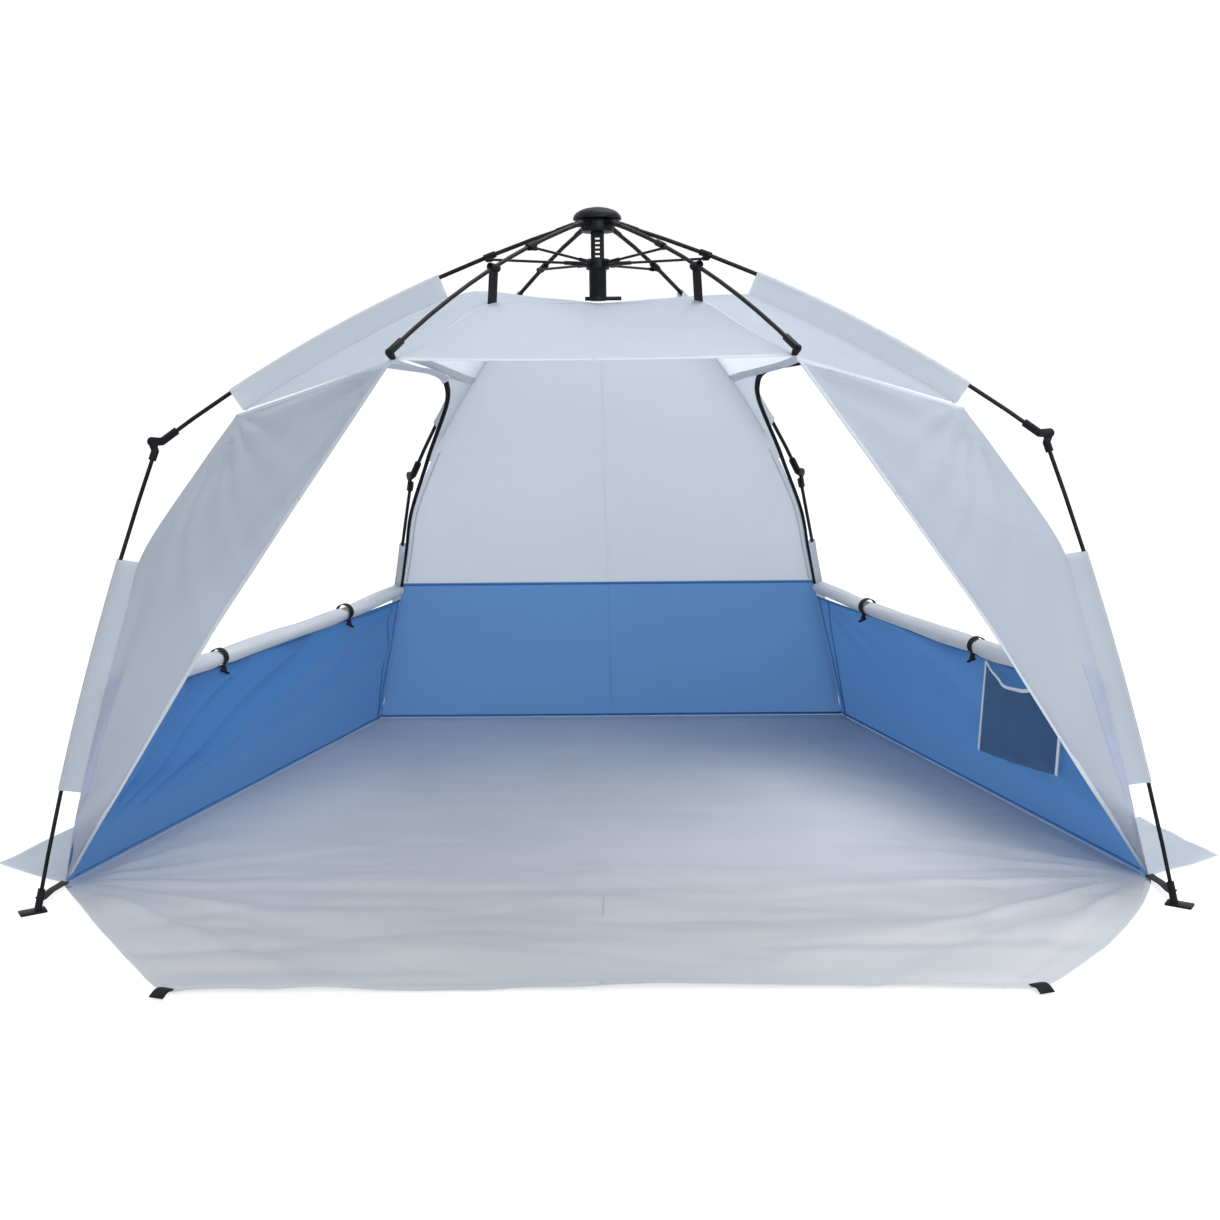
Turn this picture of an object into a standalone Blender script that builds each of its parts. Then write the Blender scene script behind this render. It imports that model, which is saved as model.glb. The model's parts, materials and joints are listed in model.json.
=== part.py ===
# Instant beach tent: an exposed umbrella hub, six ribs, four folding legs and a fabric shelter hung beneath them.
# Metres, +Z up. X runs across the tent, the open front faces -Y, and the origin lies on the ground at the middle
# of the tent's footprint. Angles are in degrees.
import math

import bmesh
import bpy
from mathutils import Matrix, Vector

# Footprint, measured from the line that joins the two side corners of the floor
PORCH_DEPTH = 0.595
PORCH_HALF_WIDTH = 0.838
SAND_FLAP_WIDTH = 0.212
SAND_FLAP_LENGTH = 0.355
SAND_FLAP_TAPER = 0.035

# The hub's place and lean. Its height follows from the side legs' lean.
HUB_BACK = 0.0646
HUB_LEAN = 9.05

# Ribs
FRONT_RIB_AZIMUTH = -55.0
BACK_RIB_AZIMUTH = 57.0
RIB_PIVOT_RADIUS = 0.042
RIB_LENGTH = 1.005
FRONT_RIB_LENGTH = 0.677
RIB_START_SLOPE = 17.5
SIDE_RIB_END_SLOPE = 36.3
FRONT_RIB_END_SLOPE = 35.2
BACK_RIB_END_SLOPE = 45.9
POLE_RADIUS = 0.0045
RIB_FOLD = 58.0

# Legs
LEG_LENGTH = 1.036
LEG_BOW_RISE = 0.020
KNEE_OFFSET = 0.012
SIDE_LEG_LEAN = 15.154168
BACK_LEG_TURN = 73.480426
FOOT_TO_CORNER = 0.0356214
SIDE_CORNER_INSET = 0.0121737
RIGHT_ANGLE = 90.0
SIDE_LEG_FOLDED_LEAN = 3.5
BACK_LEG_FOLDED_LEAN = 8.0

# Hub, runner and struts
HUB_CORE_RADIUS = 0.034
HUB_CORE_TOP = 0.008
HUB_CORE_BOTTOM = -0.017
CAP_RADIUS = 0.0505
CAP_TOP = 0.034
POST_WIDTH = 0.0274
POST_THICKNESS = 0.012
POST_BOTTOM = -0.146
SLOT_COUNT = 5
SLOT_WIDTH = 0.0096
SLOT_HEIGHT = 0.0050
SLOT_PITCH = 0.0091
FIRST_SLOT = -0.0305
RUNNER_RADIUS = 0.024
RUNNER_TOP = -0.0735
RUNNER_BOTTOM = -0.094
TUBE_RADIUS = 0.018
TUBE_BORE_RADIUS = 0.0156
TUBE_BOTTOM = -0.150
HANDLE_RADIUS = 0.0042
HANDLE_SHORT_END = 0.027
HANDLE_LONG_END = 0.049
STRUT_INNER_RADIUS = 0.034
STRUT_INNER_HEIGHT = -0.082
STRUT_OUTER_RADIUS = 0.2295
STRUT_OUTER_HEIGHT = -0.0725
STRUT_ROD_RADIUS = 0.0028
STRUT_SIDE_STEP = 0.0118
STRUT_END_LENGTH = 0.030
STRUT_END_RADIUS = 0.0043

# Hinge knuckles
KNUCKLE_RADIUS = 0.0060
TANG_HALF = 0.0025
CHEEK_GAP = 0.0004
CHEEK = 0.0025
PIN_RADIUS = 0.0015
PIN_CLEARANCE = 0.0003
SEAT_GAP = 0.0003
RIB_SOCKET_RADIUS = 0.0064
RIB_SOCKET_START = 0.009
RIB_SOCKET_END = 0.046
CLAMP_REACH = 0.193965
CLAMP_RADIUS = 0.0070
CLAMP_HALF_LENGTH = 0.013
CLAMP_EAR_RADIUS = 0.0050
CLAMP_EAR_INNER = 0.0010
CLAMP_EAR_OUTER = 0.0038
STRUT_EYE = 0.0040
KNEE_SOCKET_RADIUS = 0.0085
KNEE_CHEEK_RADIUS = 0.0100
KNEE_TANG_RADIUS = 0.0085
KNEE_SOCKET_START = 0.0145
KNEE_POLE_STOP = 0.0200
KNEE_UPPER_LENGTH = 0.056
KNEE_LOWER_LENGTH = 0.038
KNEE_PIN_RADIUS = 0.0030

# Feet and rib ends
FOOT_SOCKET_RADIUS = 0.0085
FOOT_SOCKET_HEIGHT = 0.050
SOLE_LENGTH = 0.056
SOLE_WIDTH = 0.030
SOLE_THICKNESS = 0.005
SOLE_TOE_STEP = 0.010
POLE_END_LIFT = 0.012
CORNER_SOCKET_RADIUS = 0.0075
CORNER_SOCKET_LENGTH = 0.040
CORNER_ELBOW_DROP = 0.009

# Cloth
CLOTH = 0.0008
FLOOR_CLOTH = 0.0014
SEAM_GAP = 0.00045
FLOOR_GAP = 0.0006
SLEEVE_RADIUS = 0.0072
SLEEVE_CLEARANCE = 0.0008
FIN_DROP = 0.045
LEG_FIN_DROP = 0.042
BACK_LEG_FIN_DROP = 0.035
FIN_PASS = 0.0016
APEX_BACK = 0.050
APEX_DROP = 0.163
APEX_RING = 0.006
AWNING_EDGE_OUT = 0.503
AWNING_MIDDLE_DROP = 0.231
STRAP_ANCHOR_HALF = 0.200
STRAP_ANCHOR_FRONT = 0.250
STRAP_ANCHOR_DROP = 0.141
HEM = 0.014
BLUE_TOP = 0.483
WINDOW_SILL = 0.430
WINDOW_ROLL_RADIUS = 0.021
WINDOW_ROLL_INSET = 0.003
BACK_PANEL_SAG = 0.012
SIDE_FOLD_DEPTH = 0.014
BAND_FOLD_DEPTH = 0.008
WING_EDGE_MIDDLE = (0.771, -0.230, 0.649)
WING_EDGE_LOW = (1.066, -0.130, 0.200)
BODY_SHOULDER = (0.839, -0.012, 0.939)
BODY_ANKLE = (1.133, -0.137, 0.161)

# Shares of the lengths that they follow
SLEEVE_START_SHARE = 0.31
SLEEVE_END_SHARE = 0.82
WINDOW_TOP_SHARE = 0.67
WINDOW_TOP_BACK_SHARE = 0.75
WING_TOE_SHARE = 0.1
LEG_SEAM_SHARES = (0.22, 0.74)
LEG_SLEEVE_SHARES = (0.24, 0.74)
RIB_SLEEVE_SHARES = (0.31, 0.80)
BACK_LEG_SLEEVE_SHARES = (0.42, 0.90)
BACK_SEAM_SHARES = (0.08, 0.24, 0.40)
SEAM_STEP_SHARE = 0.0015
STRUT_START_SHARE = 0.40
MERGE_SHARE = 0.02
PLATE_TURN_SHARE = 0.3
WINDOW_TAPER_SHARE = 0.12
ROOF_STEP_SHARE = 0.007

# Counts
WING_SPLIT_SPANS = 2
RIB_SPANS = 10
LEG_SPANS = 8
POLE_SIDES = 8
ROUND_SEGMENTS = 10
PIN_SEGMENTS = 8
HUB_SEGMENTS = 30
CAP_SEGMENTS = 28
CAP_STEPS = 6

CUT_OVERRUN = 0.002

BLACK = (0.012, 0.013, 0.018)
PLASTIC = (0.010, 0.011, 0.014)
SILVER_CLOTH = (0.55, 0.60, 0.68)
BLUE_CLOTH = (0.10, 0.26, 0.50)
GREY_CLOTH = (0.40, 0.42, 0.46)

SIDES = {"right": 1, "left": -1}
RIBS = {
    "right": 0.0,
    "left": 180.0,
    "front_right": FRONT_RIB_AZIMUTH,
    "front_left": 180.0 - FRONT_RIB_AZIMUTH,
    "back_right": BACK_RIB_AZIMUTH,
    "back_left": 180.0 - BACK_RIB_AZIMUTH,
}
LEGS = ("right", "left", "back_right", "back_left")


def rad(degrees):
    return math.radians(degrees)


def mix(a, b, share):
    return a + (b - a) * share


def clear_scene():
    for obj in list(bpy.data.objects):
        bpy.data.objects.remove(obj, do_unlink=True)


def collection(name):
    found = bpy.data.collections.new(name)
    bpy.context.scene.collection.children.link(found)
    return found


def material(name, colour, roughness, metallic=0.0):
    made = bpy.data.materials.new(name)
    made.use_nodes = True
    shader = made.node_tree.nodes["Principled BSDF"]
    shader.inputs["Base Color"].default_value = (*colour, 1.0)
    shader.inputs["Roughness"].default_value = roughness
    shader.inputs["Metallic"].default_value = metallic
    return made


# Frames. The floor's side corners lie at Y = SHIFT, so that the footprint's middle is the origin.

def middle_of_depth():
    """Half way between the porch's front edge and the toes of the back feet, from the side corners."""
    toe = back_foot_flat()
    reach = SOLE_LENGTH / 2 + SOLE_TOE_STEP
    lean = math.atan2(toe.y - back_knee_flat().y, toe.x - back_knee_flat().x)
    edge = toe.y + reach * math.sin(lean) + SOLE_WIDTH / 2 * abs(math.cos(lean))
    return (edge - PORCH_DEPTH) / 2


def hub_height():
    """The legs' length and lean lift the side knees, and the side ribs' bow lifts the hub above these."""
    return (LEG_LENGTH * math.cos(rad(SIDE_LEG_LEAN)) - knee_local("right").z) * math.cos(rad(HUB_LEAN))


def hub_matrix_flat():
    """The hub's frame, before the footprint is moved to the origin."""
    return Matrix.Translation((0, HUB_BACK, hub_height())) @ Matrix.Rotation(rad(-HUB_LEAN), 4, "X")


def hub_matrix():
    return Matrix.Translation((0, SHIFT, 0)) @ hub_matrix_flat()


def rib_matrix(azimuth, base=None):
    """A rib's frame: X points out along it, Y is its hinge axis, and Z is the hub's axis."""
    base = base or hub_matrix()
    turn = Matrix.Rotation(rad(azimuth), 4, "Z")
    return base @ turn @ Matrix.Translation((RIB_PIVOT_RADIUS, 0, 0))


def rib_shape(name):
    if name.startswith("front"):
        return FRONT_RIB_LENGTH, FRONT_RIB_END_SLOPE
    if name.startswith("back"):
        return RIB_LENGTH, BACK_RIB_END_SLOPE
    return RIB_LENGTH, SIDE_RIB_END_SLOPE


def slope_at(name, share):
    """A rib's slope below the hub's plane, in radians."""
    end = rib_shape(name)[1]
    return rad(RIB_START_SLOPE + (end - RIB_START_SLOPE) * share)


def rib_arc(name, share, drop=0.0):
    """A point of a rib's bow in its own frame, moved drop to the rib's underside."""
    length, end = rib_shape(name)
    start = rad(RIB_START_SLOPE)
    radius = length / (rad(end) - start)
    slope = slope_at(name, share)
    along = radius * (math.sin(slope) - math.sin(start))
    down = radius * (math.cos(start) - math.cos(slope))
    return Vector((along - drop * math.sin(slope), 0, -down - drop * math.cos(slope)))


def on_spans(bow, share, spans):
    """A point on the straight spans that stand for a bow, so that a pole and what it runs through agree."""
    step = max(0, min(int(share * spans), spans - 1))
    return mix(bow(step / spans), bow((step + 1) / spans), share * spans - step)


def stations(start, end, spans):
    """The shares of a pole's bends between two shares, with both ends."""
    inside = [n / spans for n in range(spans + 1) if start < n / spans < end]
    return [start, *inside, end]


def rib_local(name, share, drop=0.0):
    return on_spans(lambda at: rib_arc(name, at, drop), share, RIB_SPANS)


def rib_point(name, share, drop=0.0):
    return rib_matrix(RIBS[name]) @ rib_local(name, share, drop)


def knee_local(name):
    """The knee's pivot, on the outer side of the rib's end."""
    return rib_local(name, 1.0, -KNEE_OFFSET)


def back_knee_flat():
    flat = rib_matrix(RIBS["back_right"], hub_matrix_flat())
    return flat @ knee_local("back_right")


def back_leg_way():
    return Vector((math.cos(rad(BACK_LEG_TURN)), math.sin(rad(BACK_LEG_TURN)), 0))


def back_foot_flat():
    """A back leg of full length stands on the ground."""
    knee = back_knee_flat()
    reach = math.sqrt(LEG_LENGTH**2 - knee.z**2)
    return Vector((knee.x, knee.y, 0)) + back_leg_way() * reach


def back_corner_flat():
    """The floor's back corner lies in front of the back foot, in line with the leg."""
    return back_foot_flat() - back_leg_way() * FOOT_TO_CORNER


SHIFT = -middle_of_depth()


def knee_point(name):
    return rib_matrix(RIBS[name]) @ knee_local(name)


def foot_point(name):
    """Where a leg's axis meets the ground."""
    if name.startswith("back"):
        foot = back_foot_flat()
        side = 1 if name.endswith("right") else -1
        return Vector((side * foot.x, foot.y + SHIFT, 0))
    knee = knee_point(name)
    axis = hub_matrix().to_3x3() @ Vector((0, 0, 1))
    drop = knee.z / axis.z
    reach = math.sqrt(LEG_LENGTH**2 - drop**2)
    out = rib_matrix(RIBS[name]).to_3x3() @ Vector((1, 0, 0))
    return knee - axis * drop + out * reach


def floor_half_width():
    """The floor's side corners lie a little inside the side feet."""
    return foot_point("right").x - SIDE_CORNER_INSET


def leg_directions(name):
    """Where a leg points at rest, and folded up beside its rib (both while the rib is at rest)."""
    down = (foot_point(name) - knee_point(name)).normalized()
    lean = BACK_LEG_FOLDED_LEAN if name.startswith("back") else SIDE_LEG_FOLDED_LEAN
    turn = rad(RIGHT_ANGLE - lean + RIB_FOLD)
    up = rib_matrix(RIBS[name]).to_3x3() @ Vector((math.cos(turn), 0, math.sin(turn)))
    return down, up


def knee_axis(name):
    """The hinge axis nearest to the rib's own that carries the leg from one direction to the other."""
    down, up = leg_directions(name)
    wanted = rib_matrix(RIBS[name]).to_3x3() @ Vector((0, -1, 0))
    across = (down - up).normalized()
    return (wanted - across * wanted.dot(across)).normalized()


def frame_at(origin, along, hinge):
    """A frame whose Y is exactly the hinge, and whose X is as near to along as that allows."""
    out = along.cross(hinge).normalized()
    return Matrix.Translation(origin) @ Matrix((hinge.cross(out), hinge, out)).transposed().to_4x4()


def knee_matrix(name):
    """A knee's frame: Y is the pin, X runs down toward the leg, and Z points outward."""
    return frame_at(knee_point(name), leg_directions(name)[0], -knee_axis(name))


def leg_matrix(name):
    """A leg's frame at its knee: X runs exactly down the leg, and Z points outward."""
    down = leg_directions(name)[0]
    hinge = -knee_axis(name)
    return frame_at(knee_point(name), down, (hinge - down * hinge.dot(down)).normalized())


def leg_arc(name, share, drop=0.0):
    """A point of a leg's axis in its own frame, moved drop to its inner side. A side leg is bowed outward."""
    bow = 0 if name.startswith("back") else LEG_BOW_RISE * 4 * share * (1 - share)
    offset = KNEE_OFFSET * (1 - share)
    return Vector((LEG_LENGTH * share, 0, bow - offset - drop))


def leg_local(name, share, drop=0.0):
    return on_spans(lambda at: leg_arc(name, at, drop), share, LEG_SPANS)


def leg_point(name, share, drop=0.0):
    return leg_matrix(name) @ leg_local(name, share, drop)


# Solids

def add(name, mesh, mat, place=None, target=None):
    obj = bpy.data.objects.new(name, mesh)
    (target or PARTS).objects.link(obj)
    if place is not None:
        obj.matrix_world = place
    if mat:
        obj.data.materials.append(mat)
    return obj


def mesh_from(bm, name):
    bmesh.ops.recalc_face_normals(bm, faces=bm.faces)
    mesh = bpy.data.meshes.new(name)
    bm.to_mesh(mesh)
    bm.free()
    return mesh


def rod(start, end, radius, end_radius=None, segments=ROUND_SEGMENTS):
    """A round bar between two points."""
    start, end = Vector(start), Vector(end)
    way = end - start
    bm = bmesh.new()
    bmesh.ops.create_cone(bm, cap_ends=True, segments=segments, radius1=radius,
                          radius2=radius if end_radius is None else end_radius, depth=way.length)
    turn = way.to_track_quat("Z", "Y").to_matrix().to_4x4()
    bm.transform(Matrix.Translation((start + end) / 2) @ turn)
    return mesh_from(bm, "rod")


def block(low, high):
    """A box between two corners."""
    low, high = Vector(low), Vector(high)
    bm = bmesh.new()
    bmesh.ops.create_cube(bm, size=1)
    size = Matrix.Diagonal((*(high - low), 1))
    bm.transform(Matrix.Translation((low + high) / 2) @ size)
    return mesh_from(bm, "block")


def plate(discs, low_y, high_y):
    """A flat link: the outline that wraps discs (x, z, radius), between two heights along Y."""
    bm = bmesh.new()
    for x, z, radius in discs:
        for n in range(ROUND_SEGMENTS):
            turn = 2 * math.pi * (n + PLATE_TURN_SHARE) / ROUND_SEGMENTS
            for y in (low_y, high_y):
                bm.verts.new((x + radius * math.cos(turn), y, z + radius * math.sin(turn)))
    hull = bmesh.ops.convex_hull(bm, input=bm.verts)
    loose = [v for v in hull["geom_interior"] if isinstance(v, bmesh.types.BMVert)]
    bmesh.ops.delete(bm, geom=loose, context="VERTS")
    return mesh_from(bm, "plate")


def tube_mesh(points, radius, resolution=2):
    """A solid round bar that follows points."""
    curve = bpy.data.curves.new("tube", "CURVE")
    curve.dimensions = "3D"
    curve.bevel_depth = radius
    curve.bevel_resolution = resolution
    curve.use_fill_caps = True
    spline = curve.splines.new("POLY")
    spline.points.add(len(points) - 1)
    for spot, point in zip(spline.points, points):
        spot.co = (*point, 1)
    obj = add("tube", curve, None, target=CUTTERS)
    mesh = bpy.data.meshes.new_from_object(obj.evaluated_get(bpy.context.evaluated_depsgraph_get()))
    bpy.data.objects.remove(obj)
    bm = bmesh.new()
    bm.from_mesh(mesh)
    bmesh.ops.remove_doubles(bm, verts=bm.verts, dist=radius / 100)
    return mesh_from(bm, "tube")


def boolean(mesh, tools, operation):
    """The mesh after each tool mesh has been joined to it or cut from it."""
    obj = add("shape", mesh, None, target=CUTTERS)
    helpers = []
    for tool in tools:
        helper = add("tool", tool, None, target=CUTTERS)
        helper.hide_render = True
        helper.display_type = "WIRE"
        step = obj.modifiers.new("step", "BOOLEAN")
        step.operation = operation
        step.object = helper
        helpers.append(helper)
    made = bpy.data.meshes.new_from_object(obj.evaluated_get(bpy.context.evaluated_depsgraph_get()))
    for each in (obj, *helpers):
        bpy.data.objects.remove(each)
    bm = bmesh.new()
    bm.from_mesh(made)
    bmesh.ops.remove_doubles(bm, verts=bm.verts, dist=CLOTH * MERGE_SHARE)
    bmesh.ops.dissolve_degenerate(bm, edges=bm.edges, dist=CLOTH * MERGE_SHARE)
    return mesh_from(bm, "shape")


def joined(mesh, *tools):
    return boolean(mesh, tools, "UNION")


def cut(mesh, *tools):
    return boolean(mesh, tools, "DIFFERENCE")


def moved(mesh, matrix):
    mesh.transform(matrix)
    return mesh


def smooth(obj):
    obj.data.shade_smooth()
    obj.data.set_sharp_from_angle(angle=rad(35))


def holder(name, matrix):
    """An empty on a joint's axis, which carries the pieces that move with it."""
    empty = bpy.data.objects.new(name, None)
    PARTS.objects.link(empty)
    empty.empty_display_size = RIB_PIVOT_RADIUS
    empty.matrix_world = matrix
    return empty


def carry(name, mesh, mat, empty):
    """A piece modelled in its joint's frame."""
    obj = add(name, mesh, mat)
    obj.parent = empty
    smooth(obj)
    return obj


def carry_world(name, mesh, mat, empty):
    """A piece modelled in world space, carried by a joint's empty."""
    obj = add(name, mesh, mat)
    obj.parent = empty
    obj.matrix_parent_inverse = empty.matrix_world.inverted()
    smooth(obj)
    return obj


# Hub and runner

def fork(x, z, radius, root_x, tang_half=TANG_HALF):
    """The two cheeks of a fork and its pin, about a hinge along Y at (x, z)."""
    inner = tang_half + CHEEK_GAP
    outer = inner + CHEEK
    cheeks = [plate([(x, z, radius), (root_x, z, radius)], low, high)
              for low, high in ((inner, outer), (-outer, -inner))]
    reach = (inner + outer) / 2
    return [*cheeks, rod((x, -reach, z), (x, reach, z), PIN_RADIUS, segments=PIN_SEGMENTS)]


def build_hub(empty):
    core = rod((0, 0, HUB_CORE_BOTTOM), (0, 0, HUB_CORE_TOP), HUB_CORE_RADIUS, segments=HUB_SEGMENTS)
    post = block((-POST_WIDTH / 2, -POST_THICKNESS / 2, POST_BOTTOM),
                 (POST_WIDTH / 2, POST_THICKNESS / 2, HUB_CORE_TOP - CHEEK))
    forks = []
    for azimuth in RIBS.values():
        turn = Matrix.Rotation(rad(azimuth), 4, "Z")
        root = HUB_CORE_RADIUS - KNUCKLE_RADIUS
        forks += [moved(m, turn) for m in fork(RIB_PIVOT_RADIUS, 0, KNUCKLE_RADIUS, root)]
    slots = []
    for n in range(SLOT_COUNT):
        middle = FIRST_SLOT - n * SLOT_PITCH
        slots.append(block((-SLOT_WIDTH / 2, -POST_THICKNESS, middle - SLOT_HEIGHT / 2),
                           (SLOT_WIDTH / 2, POST_THICKNESS, middle + SLOT_HEIGHT / 2)))
    carry("hub_body", joined(core, cut(post, *slots), *forks), PLASTIC_MAT, empty)
    build_cap(empty)


def build_cap(empty):
    """A shallow dome over the hub, turned from its profile."""
    under = HUB_CORE_TOP + SEAT_GAP
    rim = under + CHEEK
    curve = bpy.data.meshes.new("hub_cap")
    profile = []
    for n in range(CAP_STEPS + 1):
        turn = math.pi / 2 * n / CAP_STEPS
        profile.append((CAP_RADIUS * math.sin(turn), 0, rim + (CAP_TOP - rim) * math.cos(turn)))
    profile += [(CAP_RADIUS, 0, under), (0, 0, under)]
    edges = [(n, n + 1) for n in range(len(profile) - 1)]
    curve.from_pydata(profile, edges, [])
    cap = add("hub_cap", curve, PLASTIC_MAT)
    cap.parent = empty
    screw = cap.modifiers.new("turn", "SCREW")
    screw.steps = screw.render_steps = CAP_SEGMENTS
    screw.use_merge_vertices = True
    screw.merge_threshold = 0.0001
    screw.use_normal_calculate = True
    screw.use_normal_flip = True


def build_runner(empty):
    """The lower hub: a forked ring and its guide tube. The empty is at the hub's frame."""
    ring = rod((0, 0, RUNNER_BOTTOM), (0, 0, RUNNER_TOP), RUNNER_RADIUS, segments=HUB_SEGMENTS)
    tube = rod((0, 0, TUBE_BOTTOM), (0, 0, RUNNER_BOTTOM + CHEEK), TUBE_RADIUS, segments=HUB_SEGMENTS)
    forks = []
    for azimuth in RIBS.values():
        turn = Matrix.Rotation(rad(azimuth), 4, "Z")
        root = RUNNER_RADIUS - KNUCKLE_RADIUS / 2
        pieces = fork(STRUT_INNER_RADIUS, STRUT_INNER_HEIGHT, STRUT_END_RADIUS, root, STRUT_EYE / 2)
        forks += [moved(m, turn) for m in pieces]
    bore = rod((0, 0, TUBE_BOTTOM - CUT_OVERRUN), (0, 0, RUNNER_TOP + CUT_OVERRUN), TUBE_BORE_RADIUS,
               segments=HUB_SEGMENTS)
    carry("runner", cut(joined(ring, tube, *forks), bore), PLASTIC_MAT, empty)
    top = TUBE_BOTTOM - SEAT_GAP
    disc = rod((0, 0, top - 2 * HANDLE_RADIUS), (0, 0, top), TUBE_RADIUS, segments=HUB_SEGMENTS)
    middle = top - HANDLE_RADIUS
    bar = rod((-HANDLE_SHORT_END, 0, middle), (HANDLE_LONG_END, 0, middle), HANDLE_RADIUS)
    carry("runner_handle", joined(disc, bar), PLASTIC_MAT, empty)


# Ribs and struts

def rib_stretch(name, start, end):
    return [rib_local(name, share) for share in stations(start, end, RIB_SPANS)]


def build_rib(name, empty):
    """A rib's pole with the moulded socket that hinges it to the hub."""
    length = rib_shape(name)[0]
    slope = rad(RIB_START_SLOPE)
    way = Vector((math.cos(slope), 0, -math.sin(slope)))
    last = 1.0 if name.startswith("front") else 1 - KNEE_POLE_STOP / length
    pole = tube_mesh(rib_stretch(name, RIB_SOCKET_START / length, last), POLE_RADIUS)
    neck = way * (RIB_SOCKET_START + CHEEK)
    tang = plate([(0, 0, KNUCKLE_RADIUS - CHEEK_GAP), (neck.x, neck.z, KNUCKLE_RADIUS - CHEEK_GAP)],
                 -TANG_HALF, TANG_HALF)
    socket = rod(way * RIB_SOCKET_START, way * RIB_SOCKET_END, RIB_SOCKET_RADIUS,
                 POLE_RADIUS + CHEEK_GAP)
    eye = rod((0, -KNUCKLE_RADIUS, 0), (0, KNUCKLE_RADIUS, 0), PIN_RADIUS + PIN_CLEARANCE,
              segments=PIN_SEGMENTS)
    carry(name + "_rib", cut(joined(pole, tang, socket), eye), POLE_MAT, empty)


def clamp_drop(name):
    """How far the strut's pivot lies under the rib's axis."""
    share = CLAMP_REACH / rib_shape(name)[0]
    on_rib = rib_local(name, share)
    pivot = Vector((STRUT_OUTER_RADIUS - RIB_PIVOT_RADIUS, 0, STRUT_OUTER_HEIGHT))
    return share, on_rib, pivot


def build_clamp(name, empty):
    """The clamp on a rib and the ear under it that meets the strut."""
    share, on_rib, pivot = clamp_drop(name)
    half = CLAMP_HALF_LENGTH / rib_shape(name)[0]
    ring = tube_mesh(rib_stretch(name, share - half, share + half), CLAMP_RADIUS)
    ear = plate([(on_rib.x, on_rib.z, CLAMP_EAR_RADIUS), (pivot.x, pivot.z, CLAMP_EAR_RADIUS)],
                CLAMP_EAR_INNER, CLAMP_EAR_OUTER)
    bore = bore_mesh(rib_stretch(name, share - 2 * half, share + 2 * half))
    carry(name + "_strut_clamp", cut(joined(ring, ear), bore), PLASTIC_MAT, empty)


def strut_matrix(azimuth, base=None):
    """A strut's frame: its origin on the runner's fork, X out, Y along the hinge."""
    base = base or hub_matrix()
    turn = Matrix.Rotation(rad(azimuth), 4, "Z")
    return base @ turn @ Matrix.Translation((STRUT_INNER_RADIUS, 0, STRUT_INNER_HEIGHT))


def build_strut(name, empty):
    """A thin rod with an eye at the runner and a flat eye beside the rib's clamp."""
    end = Vector((STRUT_OUTER_RADIUS - STRUT_INNER_RADIUS, 0, STRUT_OUTER_HEIGHT - STRUT_INNER_HEIGHT))
    way = end.normalized()
    side = Vector((0, STRUT_SIDE_STEP, 0))
    rod_end = end + side - way * STRUT_END_RADIUS
    start = way * (STRUT_END_RADIUS + PIN_RADIUS) + side * STRUT_START_SHARE
    bar = rod(start, rod_end, STRUT_ROD_RADIUS, segments=PIN_SEGMENTS)
    along = (rod_end - start).normalized()
    inner = rod(start + along * CHEEK_GAP, start + along * STRUT_END_LENGTH, STRUT_END_RADIUS, segments=PIN_SEGMENTS)
    neck = way * (STRUT_END_RADIUS + PIN_RADIUS + CHEEK)
    tang = plate([(0, 0, STRUT_END_RADIUS - CHEEK_GAP), (neck.x, neck.z, STRUT_END_RADIUS - CHEEK_GAP)],
                 -STRUT_EYE / 2, STRUT_EYE / 2)
    flat = CLAMP_RADIUS + SEAT_GAP
    tail = end - way * 2 * STRUT_END_RADIUS
    eye = plate([(end.x, end.z, CLAMP_EAR_RADIUS), (tail.x, tail.z, STRUT_END_RADIUS)],
                flat, flat + STRUT_EYE)
    middle = flat + STRUT_EYE / 2
    rivet = rod((end.x, middle, end.z), (end.x, middle + STRUT_EYE, end.z), 2 * PIN_RADIUS,
                segments=PIN_SEGMENTS)
    hole = rod((0, -STRUT_EYE, 0), (0, STRUT_EYE, 0), PIN_RADIUS + PIN_CLEARANCE, segments=PIN_SEGMENTS)
    carry(name + "_strut", cut(joined(bar, inner, tang, eye, rivet), hole), POLE_MAT, empty)


# Knees, legs and feet

def build_upper_knee(name, empty):
    """The forked socket on a rib's end. Its pin is on the outer edge, so the leg folds up and outward."""
    length = rib_shape(name)[0]
    far, near = 1 - KNEE_UPPER_LENGTH / length, 1 - KNEE_SOCKET_START / length
    socket = tube_mesh(rib_stretch(name, far, near), KNEE_SOCKET_RADIUS)
    to_rib = rib_matrix(RIBS[name]).inverted() @ knee_matrix(name)
    neck = to_rib.inverted() @ rib_local(name, near - CHEEK / length)
    inner = TANG_HALF + CHEEK_GAP
    outer = inner + CHEEK
    discs = [(0, 0, KNEE_CHEEK_RADIUS), (neck.x, neck.z, KNEE_TANG_RADIUS - CHEEK_GAP)]
    reach = (inner + outer) / 2
    pin = rod((0, -reach, 0), (0, reach, 0), KNEE_PIN_RADIUS, segments=PIN_SEGMENTS)
    pieces = [moved(m, to_rib) for m in (plate(discs, inner, outer), plate(discs, -outer, -inner), pin)]
    reach = KNEE_UPPER_LENGTH / length
    bore = bore_mesh(rib_stretch(name, far - reach, 1 - (KNEE_POLE_STOP - SEAT_GAP) / length))
    carry(name + "_upper_knee", cut(joined(socket, *pieces), bore), PLASTIC_MAT, empty)


def leg_stretch(name, start, end):
    frame = knee_matrix(name).inverted()
    return [frame @ leg_point(name, share) for share in stations(start, end, LEG_SPANS)]


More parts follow.
